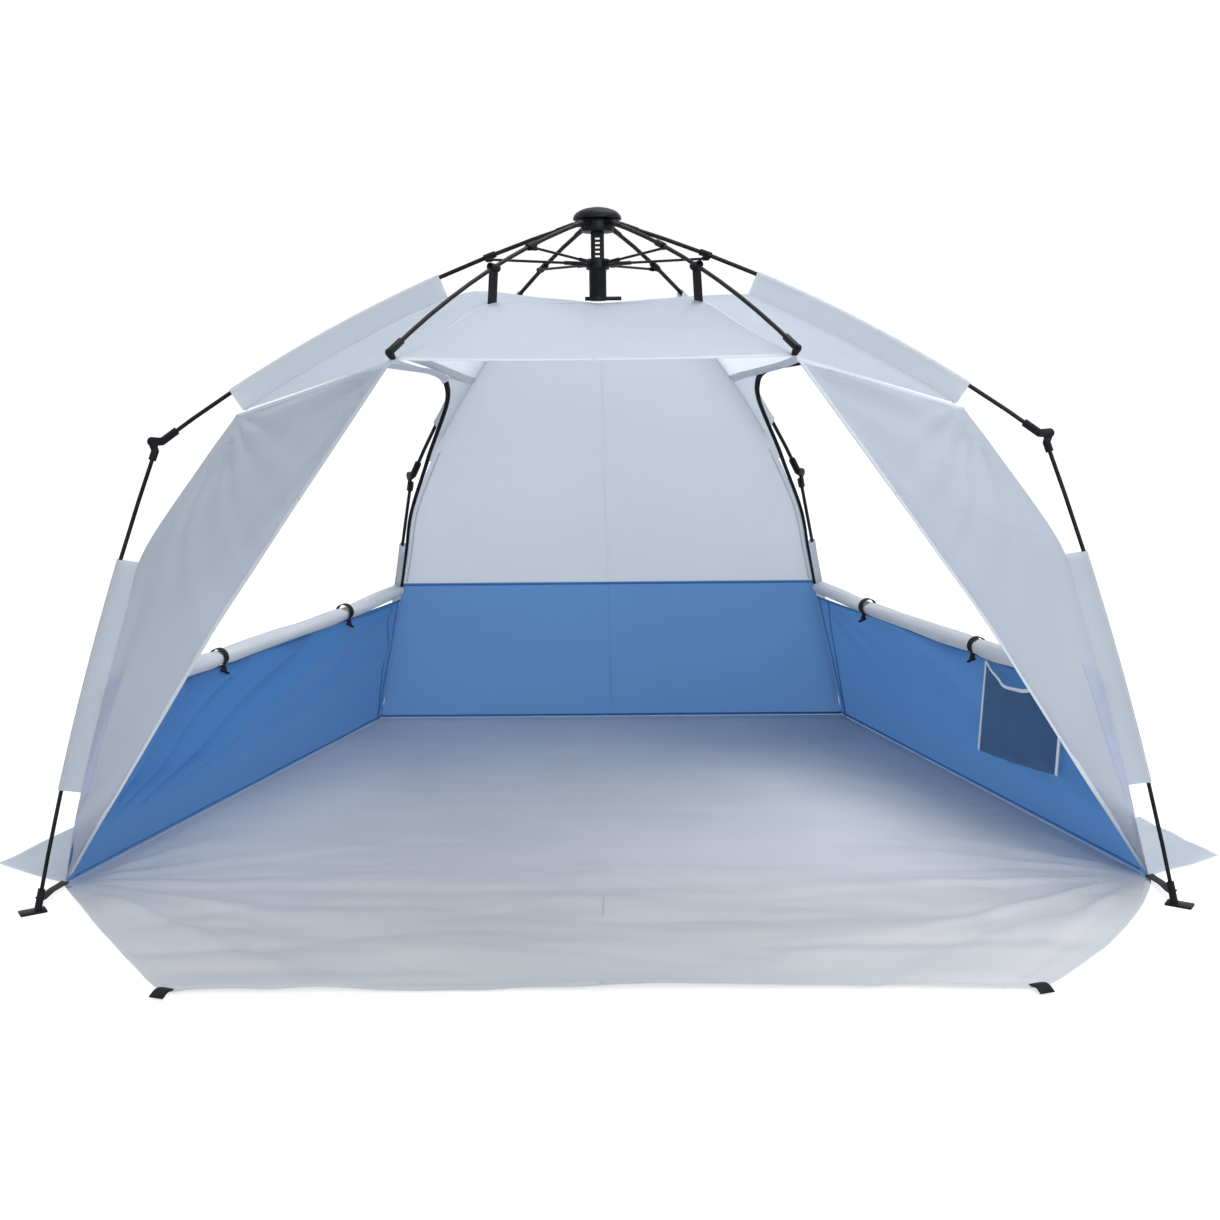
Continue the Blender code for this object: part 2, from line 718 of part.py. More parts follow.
def bore_mesh(points, room=None):
    """The room for a pole: its flats clear the pole by the gap, however the two are turned."""
    return tube_mesh(points, (POLE_RADIUS + (room or SEAT_GAP)) / math.cos(math.pi / POLE_SIDES))


def build_lower_knee(name, empty):
    """The tongue and socket at a leg's top."""
    near, far = KNEE_SOCKET_START / LEG_LENGTH, KNEE_LOWER_LENGTH / LEG_LENGTH
    socket = tube_mesh(leg_stretch(name, near, far), KNEE_SOCKET_RADIUS)
    neck = leg_stretch(name, near + CHEEK / LEG_LENGTH, far)[0]
    tongue = plate([(0, 0, KNEE_TANG_RADIUS), (neck.x, neck.z, KNEE_TANG_RADIUS - 2 * CHEEK_GAP)],
                   -TANG_HALF, TANG_HALF)
    bore = bore_mesh(leg_stretch(name, near + CHEEK / LEG_LENGTH, 2 * far))
    eye = rod((0, -KNEE_SOCKET_RADIUS, 0), (0, KNEE_SOCKET_RADIUS, 0), KNEE_PIN_RADIUS + PIN_CLEARANCE,
              segments=PIN_SEGMENTS)
    carry(name + "_lower_knee", cut(joined(socket, tongue), bore, eye), PLASTIC_MAT, empty)


def build_leg(name, empty):
    start = (KNEE_SOCKET_START + CHEEK + CHEEK_GAP) / LEG_LENGTH
    end = 1 - POLE_END_LIFT / LEG_LENGTH
    carry(name + "_leg_pole", tube_mesh(leg_stretch(name, start, end), POLE_RADIUS), POLE_MAT, empty)


def build_foot(name, empty):
    """A socket on the pole's end with a flat sole that points outward."""
    foot, knee = foot_point(name), knee_point(name)
    out = Vector((foot.x - knee.x, foot.y - knee.y, 0)).normalized()
    turn = math.atan2(out.y, out.x)
    place = Matrix.Translation(foot) @ Matrix.Rotation(turn, 4, "Z")
    sole = block((SOLE_TOE_STEP - SOLE_LENGTH / 2, -SOLE_WIDTH / 2, 0),
                 (SOLE_TOE_STEP + SOLE_LENGTH / 2, SOLE_WIDTH / 2, SOLE_THICKNESS))
    high = 1 - FOOT_SOCKET_HEIGHT / LEG_LENGTH
    low = 1 - SOLE_THICKNESS / 2 / LEG_LENGTH
    frame = knee_matrix(name)
    points = [frame @ p for p in leg_stretch(name, high, low)]
    socket = tube_mesh(points, FOOT_SOCKET_RADIUS)
    below = block((-SOLE_LENGTH, -SOLE_LENGTH, -SOLE_LENGTH), (SOLE_LENGTH, SOLE_LENGTH, 0))
    floor = 1 - (POLE_END_LIFT - SEAT_GAP) / LEG_LENGTH
    bore = [frame @ p for p in leg_stretch(name, high - FOOT_SOCKET_HEIGHT / LEG_LENGTH, floor)]
    shape = joined(moved(sole, place), socket)
    shape = cut(shape, bore_mesh(bore), moved(below, place))
    carry_world(name + "_foot", shape, PLASTIC_MAT, empty)


def build_corner_fitting(name, empty):
    """The elbow on a front rib's end that holds the awning's corner."""
    length = rib_shape(name)[0]
    start = 1 - CORNER_SOCKET_LENGTH / length
    past = 1 + CHEEK / length
    socket = tube_mesh(rib_stretch(name, start, past), CORNER_SOCKET_RADIUS)
    end = rib_local(name, 1.0)
    low = end + Vector((-CORNER_SOCKET_RADIUS, 0, -CORNER_ELBOW_DROP))
    elbow = plate([(end.x, end.z, POLE_RADIUS + CHEEK), (low.x, low.z, POLE_RADIUS)],
                  -POLE_RADIUS, POLE_RADIUS)
    bore = bore_mesh(rib_stretch(name, start - (past - start), 1 + SEAT_GAP / length))
    carry(name + "_corner_fitting", cut(joined(socket, elbow), bore), PLASTIC_MAT, empty)


# Cloth. A line here is a function of 0 to 1; a sheet is stretched between two of them.

def run(points):
    """A line through points at shares of its length."""
    lengths = [0]
    for a, b in zip(points, points[1:]):
        lengths.append(lengths[-1] + (b - a).length)

    def at(share):
        goal = share * lengths[-1]
        step = max(0, min(sum(1 for reach in lengths[1:] if reach < goal), len(points) - 2))
        return mix(points[step], points[step + 1], (goal - lengths[step]) / (lengths[step + 1] - lengths[step]))
    return at


def path(points):
    """A line that runs through points at an even share of their number."""
    spans = len(points) - 1

    def at(share):
        step = min(int(share * spans), spans - 1)
        return mix(points[step], points[step + 1], share * spans - step)
    return at


def flat(x, y, z, side):
    """A point given from the floor's side corners, on one side of the tent."""
    return Vector((side * x, y + SHIFT, z))


def apex(side, toward):
    """The roof's peak, with a small step toward a point so that no panel ends in a needle."""
    top = flat(0, APEX_BACK, hub_height() - APEX_DROP, side)
    return top + (toward - top).normalized() * APEX_RING


def side_name(side, prefix=""):
    return prefix + ("right" if side > 0 else "left")


def ridge(side, shares, prefix=""):
    """The seam under a rib that carries the roof."""
    return [rib_point(side_name(side, prefix), s, FIN_DROP) for s in shares]


def between(start, end, count):
    return [mix(start, end, n / (count - 1)) for n in range(count)]


def side_ridge(side, end=SLEEVE_END_SHARE):
    points = ridge(side, stations(SLEEVE_START_SHARE, end, RIB_SPANS))
    return run([apex(side, points[0]), *points])


def back_ridge(side, end=SLEEVE_END_SHARE):
    points = ridge(side, stations(SLEEVE_START_SHARE, end, RIB_SPANS), "back_")
    return run([apex(side, points[0]), *points])


def front_seam(side):
    """The roof's crease below a front rib, from the peak to the awning's corner."""
    anchor = flat(STRAP_ANCHOR_HALF, -STRAP_ANCHOR_FRONT, hub_height() - STRAP_ANCHOR_DROP, side)
    corner = awning_corner(side)
    return run([apex(side, anchor), anchor, corner])


def awning_corner(side):
    """The roof's front corner, just under the elbow on the front rib's end."""
    name = side_name(side, "front_")
    low = Vector((-CORNER_SOCKET_RADIUS, 0, -CORNER_ELBOW_DROP - POLE_RADIUS - CLOTH))
    return rib_matrix(RIBS[name]) @ (rib_local(name, 1.0) + low)


def middle_seam(side):
    """The awning's middle line, from the peak to its front edge."""
    front = flat(0, -AWNING_EDGE_OUT, hub_height() - AWNING_MIDDLE_DROP, side)
    return path([apex(side, front), front])


def body_points(side):
    """The shelter's outer edge, from the side rib's sleeve down to the floor's side corner."""
    leg = side_name(side)
    seam = [leg_point(leg, s, LEG_FIN_DROP) for s in between(*LEG_SEAM_SHARES, 5)]
    top = ridge(side, [SLEEVE_END_SHARE])[0]
    corner = flat(floor_half_width(), 0, FLOOR_CLOTH + FLOOR_GAP, side)
    return [top, flat(*BODY_SHOULDER, side), *seam, flat(*BODY_ANKLE, side), corner]


def opening_edge(side):
    """The front edge of the side wing, from the awning's corner to the floor's side corner."""
    middle, low = flat(*WING_EDGE_MIDDLE, side), flat(*WING_EDGE_LOW, side)
    corner = flat(floor_half_width(), 0, FLOOR_CLOTH + FLOOR_GAP, side)
    points = [*between(awning_corner(side), middle, 5), *between(middle, low, 4)[1:]]
    return path([*points, mix(corner, low, WING_TOE_SHARE)])


def back_edge(side):
    """The shelter's back corner, from the back rib's sleeve down to the floor."""
    leg = side_name(side, "back_")
    seam = [leg_point(leg, s, BACK_LEG_FIN_DROP) for s in BACK_SEAM_SHARES]
    ground = back_corner_flat()
    corner = flat(ground.x, ground.y, FLOOR_CLOTH + FLOOR_GAP, side)
    return [*ridge(side, [0.88], "back_"), *seam, corner]


def at_height(points, height):
    """Where a falling line of points passes a height."""
    for high, low in zip(points, points[1:]):
        if high.z >= height >= low.z:
            return mix(high, low, (high.z - height) / (high.z - low.z))
    return points[-1]


def below(points, height):
    return [at_height(points, height), *[p for p in points if p.z < height]]


def above(points, height):
    return [*[p for p in points if p.z > height], at_height(points, height)]


def grid(down, across):
    return between(0, 1, down + 1), between(0, 1, across + 1)


def cloth_mesh(rows, thickness):
    """A solid cloth of one thickness through rows of points."""
    down, across = len(rows) - 1, len(rows[0]) - 1
    corners = [(i * (across + 1) + j) for i in range(down) for j in range(across)]
    faces = [(n, n + 1, n + across + 2, n + across + 1) for n in corners]
    mesh = bpy.data.meshes.new("cloth")
    mesh.from_pydata([p for row in rows for p in row], [], faces)
    obj = add("cloth", mesh, None, target=CUTTERS)
    thick = obj.modifiers.new("cloth", "SOLIDIFY")
    thick.thickness = thickness
    thick.offset = 0
    made = bpy.data.meshes.new_from_object(obj.evaluated_get(bpy.context.evaluated_depsgraph_get()))
    bpy.data.objects.remove(obj)
    bm = bmesh.new()
    bm.from_mesh(made)
    return mesh_from(bm, "cloth")


def sheet(name, surface, shares, mat, empty, extra=None):
    """A cloth panel over a surface of two shares, drawn in a little along its seams."""
    rows = [[surface(u, v) for v in shares[1]] for u in shares[0]]
    mesh = cloth_mesh(draw_in(rows), CLOTH)
    if extra:
        mesh = cut(joined(mesh, *extra[0]), *extra[1])
    return carry_world(name, mesh, mat, empty)


def draw_in(rows):
    """Rows of points whose border has moved inward by the seam's gap."""
    down, across = len(rows) - 1, len(rows[0]) - 1
    made = [[point.copy() for point in row] for row in rows]
    for j in range(across + 1):
        made[0][j] += (rows[1][j] - rows[0][j]).normalized() * SEAM_GAP
        made[down][j] += (rows[down - 1][j] - rows[down][j]).normalized() * SEAM_GAP
    for i in range(down + 1):
        made[i][0] += (rows[i][1] - rows[i][0]).normalized() * SEAM_GAP
        made[i][across] += (rows[i][across - 1] - rows[i][across]).normalized() * SEAM_GAP
    return made


def sleeve(points, seam):
    """A cloth tube round a pole and the doubled cloth that joins it to a seam."""
    fin = cloth_mesh([points, seam], 2 * CLOTH)
    return joined(fin, tube_mesh(stretched(points, HEM / 4), SLEEVE_RADIUS))


def stretched(points, length):
    """A pole's points, run on past both ends."""
    first = points[0] + (points[0] - points[1]).normalized() * length
    last = points[-1] + (points[-1] - points[-2]).normalized() * length
    return [first, *points, last]


def fin_edge(poles, edge):
    """Where a fin meets a falling seam at each pole point's height, a little past it."""
    made = []
    for pole in poles:
        seam = at_height(edge, pole.z)
        made.append(seam + (seam - pole).normalized() * FIN_PASS)
    return made


def pole_bore(points):
    """The room for the pole in a sleeve, run past both of the sleeve's ends."""
    return bore_mesh(stretched(points, HEM), SLEEVE_CLEARANCE)


def build_roof(side, empty):
    """The roof from the front rib's seam over the side rib to the window's top, and the side rib's sleeve."""
    name = side_name(side)
    front, top = front_seam(side), side_ridge(side)
    window = WINDOW_TOP_SHARE
    rear = back_ridge(side)
    inward = hub_matrix().to_3x3() @ Vector((0, 0, -1))

    def behind(u):
        back = mix(rear(min(u / window, 1) * WINDOW_TOP_BACK_SHARE), top(min(u, window)), ROOF_STEP_SHARE)
        taper = min(max(u - window, 0) / WINDOW_TAPER_SHARE, 1)
        return mix(back, top(u) + inward * HEM, taper)

    def across(u, v):
        return mix(front(u), top(u), 2 * v) if v < 0.5 else mix(top(u), behind(u), 2 * v - 1)

    rows = [*between(0, window, 6), *between(window + WINDOW_TAPER_SHARE, 1, 3)]
    shares = stations(*RIB_SLEEVE_SHARES, RIB_SPANS)
    poles = [rib_point(name, s) for s in shares]
    seam = [rib_point(name, s, FIN_DROP + FIN_PASS) for s in shares]
    sheet(f"roof_{name}", across, (rows, between(0, 1, 9)), CLOTH_MAT, empty,
          extra=([sleeve(poles, seam)], [pole_bore(poles)]))


def build_awning(side, empty):
    """Half of the roof's front panel."""
    name = side_name(side)
    front, middle = front_seam(side), middle_seam(side)
    sheet(f"awning_{name}", lambda u, v: mix(front(u), middle(u), v), grid(8, 4), CLOTH_MAT, empty)


def build_back(side, rib_empty, leg_empty):
    """Half of the back panel, and half of the blue band below it, with the sleeves for the back poles."""
    name = side_name(side)
    rib = side_name(side, "back_")
    upper = ridge(side, stations(SLEEVE_START_SHARE, SLEEVE_END_SHARE, RIB_SPANS), "back_")
    edge = run([apex(side, upper[0]), *upper, *above(back_edge(side), BLUE_TOP)])

    def hang(u, v):
        point = edge(u)
        sag = BACK_PANEL_SAG * math.sin(math.pi * u) * v
        return mix(point, Vector((0, point.y, point.z - sag)), v)

    shares = stations(*RIB_SLEEVE_SHARES, RIB_SPANS)
    poles = [rib_point(rib, s) for s in shares]
    seam = [rib_point(rib, s, FIN_DROP + FIN_PASS) for s in shares]
    sheet(f"back_panel_{name}", hang, grid(12, 5), CLOTH_MAT, rib_empty,
          extra=([sleeve(poles, seam)], [pole_bore(poles)]))
    low = run(below(back_edge(side), BLUE_TOP))

    def folds(u, v):
        point = low(u)
        depth = BAND_FOLD_DEPTH * math.sin(math.pi * u) * math.sin(3 * math.pi * v)
        return mix(point, Vector((0, point.y + depth, point.z)), v)

    poles = [leg_point(rib, s) for s in stations(*BACK_LEG_SLEEVE_SHARES, LEG_SPANS)]
    seam = fin_edge(poles, back_edge(side))
    sheet(f"back_band_{name}", folds, grid(5, 8), BLUE_MAT, leg_empty,
          extra=([sleeve(poles, seam)], [pole_bore(poles)]))


def build_wing(side, rib_empty, leg_empty):
    """The panel beside the front opening, in an upper and a lower part, with the leg's sleeve."""
    name = side_name(side)
    points = body_points(side)
    outer, front = path(points), opening_edge(side)
    spans = len(points) - 1
    split = WING_SPLIT_SPANS / spans
    sheet(f"upper_wing_{name}", lambda u, v: mix(outer(u * split), front(u * split), v), grid(4, 5),
          CLOTH_MAT, rib_empty)
    poles = [leg_point(name, s) for s in stations(*LEG_SLEEVE_SHARES, LEG_SPANS)]
    seam = fin_edge(poles, points)
    rows = [n / spans for n in range(WING_SPLIT_SPANS, spans + 1)]
    sheet(f"lower_wing_{name}", lambda u, v: mix(outer(u), front(u), v), (rows, between(0, 1, 5)),
          CLOTH_MAT, leg_empty,
          extra=([sleeve(poles, seam)], [pole_bore(poles)]))


def build_side_wall(side, empty):
    """The low blue wall between a side leg and a back leg, with the folds that run from its front corner."""
    name = side_name(side)
    front = below(body_points(side), WINDOW_SILL)
    rear = below(back_edge(side), WINDOW_SILL)
    ahead, behind = path(front), run(rear)
    corner = back_corner_flat()
    out = Vector((side * corner.y, floor_half_width() - corner.x, 0)).normalized()

    def folds(u, v):
        fan = math.sin(4 * math.pi * v * (1.3 - 0.3 * u)) * math.sin(math.pi * v)
        step = out * SIDE_FOLD_DEPTH * fan * math.sin(math.pi * u)
        return mix(ahead(u), behind(u), mix(SEAM_STEP_SHARE, 1 - SEAM_STEP_SHARE, v)) + step

    sheet(f"side_wall_{name}", folds, grid(len(front) - 1, 16), BLUE_MAT, empty)
    half_height = WINDOW_ROLL_RADIUS * math.cos(math.pi / POLE_SIDES)
    lift = Vector((0, 0, half_height + SEAT_GAP + CLOTH / 2))
    inset = out * -WINDOW_ROLL_INSET
    start, end = front[0] + lift + inset, rear[0] + lift + inset
    trim = (end - start).normalized() * 2 * WINDOW_ROLL_RADIUS
    points = between(start + trim, end - trim, 9)
    carry_world(f"window_roll_{name}", tube_mesh(points, WINDOW_ROLL_RADIUS), CLOTH_MAT, empty)


def slab(name, points, thickness, mat, empty):
    """A flat cloth that lies on the ground, from its outline."""
    curve = bpy.data.curves.new(name, "CURVE")
    curve.dimensions = "2D"
    curve.fill_mode = "BOTH"
    curve.extrude = thickness / 2
    spline = curve.splines.new("POLY")
    spline.points.add(len(points) - 1)
    spline.use_cyclic_u = True
    for spot, point in zip(spline.points, points):
        spot.co = (*point, 0, 1)
    obj = add(name, curve, None, target=CUTTERS)
    mesh = bpy.data.meshes.new_from_object(obj.evaluated_get(bpy.context.evaluated_depsgraph_get()))
    bpy.data.objects.remove(obj)
    bm = bmesh.new()
    bm.from_mesh(mesh)
    bmesh.ops.remove_doubles(bm, verts=bm.verts, dist=thickness / 10)
    mesh = mesh_from(bm, name)
    mesh.transform(Matrix.Translation((0, 0, thickness / 2)))
    return carry_world(name, mesh, mat, empty)


def build_floor(side, empty):
    """Half of the groundsheet with its porch, and the flap that is weighed down with sand."""
    name = side_name(side)
    corner = Vector((floor_half_width(), 0))
    porch = Vector((PORCH_HALF_WIDTH, -PORCH_DEPTH))
    curve = [mix(porch, corner, n / 6) for n in range(1, 6)]
    away = Vector((porch.y - corner.y, corner.x - porch.x)).normalized() * -1
    bulge = SAND_FLAP_TAPER
    rounded = [p + away * bulge * math.sin(math.pi * (n + 1) / 6) for n, p in enumerate(curve)]
    back = back_corner_flat().xy
    outline = [(SEAM_GAP, -PORCH_DEPTH), porch, *rounded, corner, back, (SEAM_GAP, back.y)]
    points = [(side * x, y + SHIFT) for x, y in outline]
    slab(f"floor_{name}", points, FLOOR_CLOTH, FLOOR_MAT, empty)
    edge = (back - corner).normalized()
    out = Vector((edge.y, -edge.x))
    root = corner + out * 2 * SEAM_GAP
    tip = root + out * SAND_FLAP_WIDTH + edge * SAND_FLAP_TAPER
    end = root + out * SAND_FLAP_WIDTH + edge * (SAND_FLAP_LENGTH - SAND_FLAP_TAPER)
    points = [(side * x, y + SHIFT) for x, y in (root, tip, end, root + edge * SAND_FLAP_LENGTH)]
    slab(f"sand_flap_{name}", points, FLOOR_CLOTH, FLOOR_MAT, empty)


def floor_matrix(name):
    """Where the floor folds up against a leg."""
    out = rib_matrix(RIBS[name]).to_3x3()
    return Matrix.Translation(foot_point(name)) @ out.to_4x4()


def build_all():
    hub = holder("hub", hub_matrix())
    runner = holder("runner_slide", hub_matrix())
    build_hub(hub)
    build_runner(runner)
    empties = {}
    for name, azimuth in RIBS.items():
        rib = holder(name + "_rib_hinge", rib_matrix(azimuth))
        strut = holder(name + "_strut_hinge", strut_matrix(azimuth))
        empties[name] = rib
        build_rib(name, rib)
        build_clamp(name, rib)
        build_strut(name, strut)
        if name.startswith("front"):
            build_corner_fitting(name, rib)
    for name in LEGS:
        leg = holder(name + "_knee_hinge", knee_matrix(name))
        empties[name + "_leg"] = leg
        build_upper_knee(name, empties[name])
        build_lower_knee(name, leg)
        build_leg(name, leg)
        build_foot(name, leg)
    for name, side in SIDES.items():
        floor = holder(name + "_floor_hinge", floor_matrix(name))
        bpy.context.view_layer.update()
        build_roof(side, empties[name])
        build_awning(side, empties["front_" + name])
        build_back(side, empties["back_" + name], empties[f"back_{name}_leg"])
        build_wing(side, empties[name], empties[name + "_leg"])
        build_side_wall(side, empties[name + "_leg"])
        build_floor(side, floor)


clear_scene()
PARTS = collection("beach_tent")
CUTTERS = collection("cutters")
POLE_MAT = material("coated_pole", BLACK, 0.35, 0.2)
PLASTIC_MAT = material("black_plastic", PLASTIC, 0.45)
CLOTH_MAT = material("silver_cloth", SILVER_CLOTH, 0.6)
BLUE_MAT = material("blue_cloth", BLUE_CLOTH, 0.6)
FLOOR_MAT = material("floor_cloth", GREY_CLOTH, 0.7)
build_all()
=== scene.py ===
import json
import math

import bpy
from mathutils import Matrix, Vector, noise

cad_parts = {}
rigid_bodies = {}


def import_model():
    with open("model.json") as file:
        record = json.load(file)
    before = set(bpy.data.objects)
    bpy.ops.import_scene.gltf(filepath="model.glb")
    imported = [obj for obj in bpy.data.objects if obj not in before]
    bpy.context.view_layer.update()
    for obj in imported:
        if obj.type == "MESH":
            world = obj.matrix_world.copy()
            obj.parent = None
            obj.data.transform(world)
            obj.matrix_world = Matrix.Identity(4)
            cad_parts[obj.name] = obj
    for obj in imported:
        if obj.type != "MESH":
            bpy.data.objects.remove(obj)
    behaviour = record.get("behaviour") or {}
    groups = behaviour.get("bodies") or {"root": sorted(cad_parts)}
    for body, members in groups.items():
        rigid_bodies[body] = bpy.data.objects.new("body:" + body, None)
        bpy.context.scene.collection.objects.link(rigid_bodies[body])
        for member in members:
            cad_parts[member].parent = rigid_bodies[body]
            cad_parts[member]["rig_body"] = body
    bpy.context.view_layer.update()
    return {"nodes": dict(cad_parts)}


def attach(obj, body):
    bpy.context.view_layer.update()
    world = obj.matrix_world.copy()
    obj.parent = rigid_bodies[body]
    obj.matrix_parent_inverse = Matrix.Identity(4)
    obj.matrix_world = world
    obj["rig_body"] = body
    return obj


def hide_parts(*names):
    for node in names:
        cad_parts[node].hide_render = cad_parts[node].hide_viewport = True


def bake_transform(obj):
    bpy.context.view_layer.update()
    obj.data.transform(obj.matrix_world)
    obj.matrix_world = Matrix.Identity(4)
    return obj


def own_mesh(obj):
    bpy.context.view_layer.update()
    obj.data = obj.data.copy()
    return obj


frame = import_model()
NODES = frame["nodes"]

# The camera, fitted to the photograph. Pixels are the photograph's own, and angles are in radians.
PHOTO_SIZE = 1220
FOCAL_PIXELS = 1904.5
SENSOR = 36
PITCH = 0.2217
ROLL = 0.0116
YAW = -0.0141
CAMERA_AT = (0.0743, -4.3846, 1.5124)

# Where the cloth is sewn, as in the part's source
HUB_AXIS = Vector((0, 0.1573, 0.98755))
RIB_DROP = 0.045
SLEEVE_SHARES = (0.31, 0.82)
APEX = (0, -0.3524, 1.262)
STRAP_ANCHOR = (0.2, -0.6524, 1.284)
AWNING_CORNER = (0.3664, -0.9039, 1.1976)
AWNING_MIDDLE = (0, -0.9054, 1.194)
WING_MIDDLE = (0.771, -0.6324, 0.649)
WING_LOW = (1.066, -0.5324, 0.2)
FLOOR_SIDE = (1.2, -0.4024, 0.002)
FLOOR_BACK = (0.666, 0.9226, 0.002)
PORCH = (0.838, -0.9974, 0.001)
PORCH_BULGES = {1: 0.05, -1: 0.008}
FLOOR_TUCK = 0.004
BODY_EDGE = [(0.7608, -0.3988, 1.0419), (0.839, -0.4144, 0.939), (0.9644, -0.4437, 0.7605),
             (1.0054, -0.4639, 0.6337), (1.0439, -0.4842, 0.5062), (1.0797, -0.5046, 0.378),
             (1.113, -0.5251, 0.2491), (1.133, -0.5394, 0.161), FLOOR_SIDE]
BACK_EDGE = [(0.42, 0.2267, 0.857), (0.4865, 0.3433, 0.7059), (0.5172, 0.4458, 0.5793),
             (0.5479, 0.5483, 0.4527), FLOOR_BACK]
# Heights: the blue band's top at the back, the side walls' sill, and the top of the wings' strip of painted
# light, where the blue wall seen through the wing is painted
BLUE_TOP = 0.483
SILL = 0.430
STRIP_TOP = 0.50
# Shares: where the windows' top edges meet the side and the back ribs, where the wings part in two, how far
# up from the foot the wings' opening ends, and how wide the painted see-through strip of blue is
WINDOW_SHARE = 0.67
WINDOW_BACK_SHARE = 0.75
WING_SPLIT = 0.25
WING_TOE = 0.1
STRIP_SHARE = 0.17

# Cloth, trim and fittings
CLOTH = 0.0006
GROUNDSHEET = 0.001
SLEEVE_RADIUS = 0.0068
HEM = 0.013
HEM_THICK = 0.0016
BINDING = 0.009
BINDING_THICK = 0.0022
SEAM_THICK = 0.0014
FLOOR_HEM_THICK = 0.0018
WEBBING = 0.015
WEBBING_THICK = 0.003
ROOF_STRAP = 0.027
FOOT_STRAP = 0.018
STRAP_THICK = 0.002
LOOP_THICK = 0.0018
POLE_LOOP_RADIUS = 0.0066
ZIP_TAPE = 0.013
ZIP_TEETH = 0.0045
TOOTH = 0.0026
TOOTH_RISES = (0.0026, 0.0019)
# The two sides, the way up, and the stage floor's reach and its drop below the ground
SIDES = {"right": 1, "left": -1}
UP = Vector((0, 0, 1))
STAGE_REACH = 40
STAGE_DROP = 0.0006


# The camera

def place_camera():
    data = bpy.data.cameras.new("camera")
    data.sensor_width = SENSOR
    data.lens = FOCAL_PIXELS * SENSOR / PHOTO_SIZE
    camera = bpy.data.objects.new("camera", data)
    bpy.context.scene.collection.objects.link(camera)
    ahead = Vector((math.sin(YAW), math.cos(YAW), 0))
    across = Vector((math.cos(YAW), -math.sin(YAW), 0))
    up = Vector((0, 0, 1))
    forward = ahead * math.cos(PITCH) - up * math.sin(PITCH)
    top = ahead * math.sin(PITCH) + up * math.cos(PITCH)
    right = across * math.cos(ROLL) - top * math.sin(ROLL)
    top = across * math.sin(ROLL) + top * math.cos(ROLL)
    turn = Matrix((right, top, -forward)).transposed().to_4x4()
    camera.matrix_world = Matrix.Translation(CAMERA_AT) @ turn
    bpy.context.scene.camera = camera


place_camera()


# Materials

def add_node(mat, kind, *plugs, **values):
    """A shader node. A value that is a pair (node, output) is linked, and any other is set."""
    node = mat.node_tree.nodes.new("ShaderNode" + kind)
    for name, value in [*values.items(), *enumerate(plugs)]:
        if isinstance(name, str) and hasattr(node, name):
            setattr(node, name, value)
            continue
        plug = node.inputs[name.replace("_", " ") if isinstance(name, str) else name]
        if isinstance(value, tuple) and isinstance(value[0], bpy.types.Node):
            mat.node_tree.links.new(value[0].outputs[value[1]], plug)
        else:
            plug.default_value = value
    return node


def new_material(name):
    mat = bpy.data.materials.new(name)
    mat.use_nodes = True
    mat.node_tree.nodes.clear()
    return mat


def ramp(mat, source, low, high, start=0.0, end=1.0):
    """Two colours that follow a texture between two of its values."""
    node = add_node(mat, "ValToRGB", Fac=(source, "Fac"))
    node.color_ramp.elements[0].position = start
    node.color_ramp.elements[1].position = end
    node.color_ramp.elements[0].color = (*low, 1)
    node.color_ramp.elements[1].color = (*high, 1)
    return node


def shades(colour, spread):
    return tuple(c * (1 - spread) for c in colour), tuple(min(c * (1 + spread), 1) for c in colour)


def weave_height(mat, pitch):
    """A plain weave, from two sets of threads in the cloth's own metres."""
    place = add_node(mat, "UVMap", uv_map="cut")
    scale = 1 / pitch / math.tau * 0.62
    threads = [add_node(mat, "TexWave", wave_type="BANDS", bands_direction=direction, Scale=scale,
                        Distortion=0.6, Detail=1.0, Vector=(place, "UV")) for direction in ("X", "Y")]
    return add_node(mat, "Math", (threads[0], "Fac"), (threads[1], "Fac"), operation="MULTIPLY")


def cloth_material(name, colour, through=0.3, pitch=0.0011, roughness=(0.5, 0.66), bump=0.12, glow=None,
                   clear=0.0):
    """Thin woven polyester: mottled colour, a weave, faint creases, and some light that comes through.

    A net is clear in part."""
    mat = new_material(name)
    place = (add_node(mat, "TexCoord"), "Object")
    mottle = add_node(mat, "TexNoise", Scale=2.6, Detail=4.0, Roughness=0.55, Vector=place)
    tone = ramp(mat, mottle, *shades(colour, 0.035), 0.3, 0.7)
    weave = weave_height(mat, pitch)
    threads = add_node(mat, "MixRGB", blend_type="MULTIPLY", Fac=0.10, Color1=(tone, "Color"),
                       Color2=(weave, "Value"))
    crease = add_node(mat, "TexNoise", Scale=34.0, Detail=5.0, Roughness=0.6, Distortion=0.7, Vector=place)
    first = add_node(mat, "Bump", Strength=bump, Distance=0.004, Height=(crease, "Fac"))
    second = add_node(mat, "Bump", Strength=bump, Distance=0.0006, Height=(weave, "Value"),
                      Normal=(first, "Normal"))
    rough = add_node(mat, "MapRange", To_Min=roughness[0], To_Max=roughness[1], Value=(mottle, "Fac"))
    skin = add_node(mat, "BsdfPrincipled", Specular_IOR_Level=0.32, Sheen_Weight=0.12, Sheen_Roughness=0.5,
                    Base_Color=(threads, "Color"), Roughness=(rough, "Result"), Normal=(second, "Normal"))
    behind = add_node(mat, "BsdfTranslucent", Color=(*(glow or colour), 1), Normal=(first, "Normal"))
    both = add_node(mat, "MixShader", through, (skin, "BSDF"), (behind, "BSDF"))
    if clear:
        gap = add_node(mat, "BsdfTransparent")
        both = add_node(mat, "MixShader", clear, (both, "Shader"), (gap, "BSDF"))
    add_node(mat, "OutputMaterial", Surface=(both, "Shader"))
    return mat


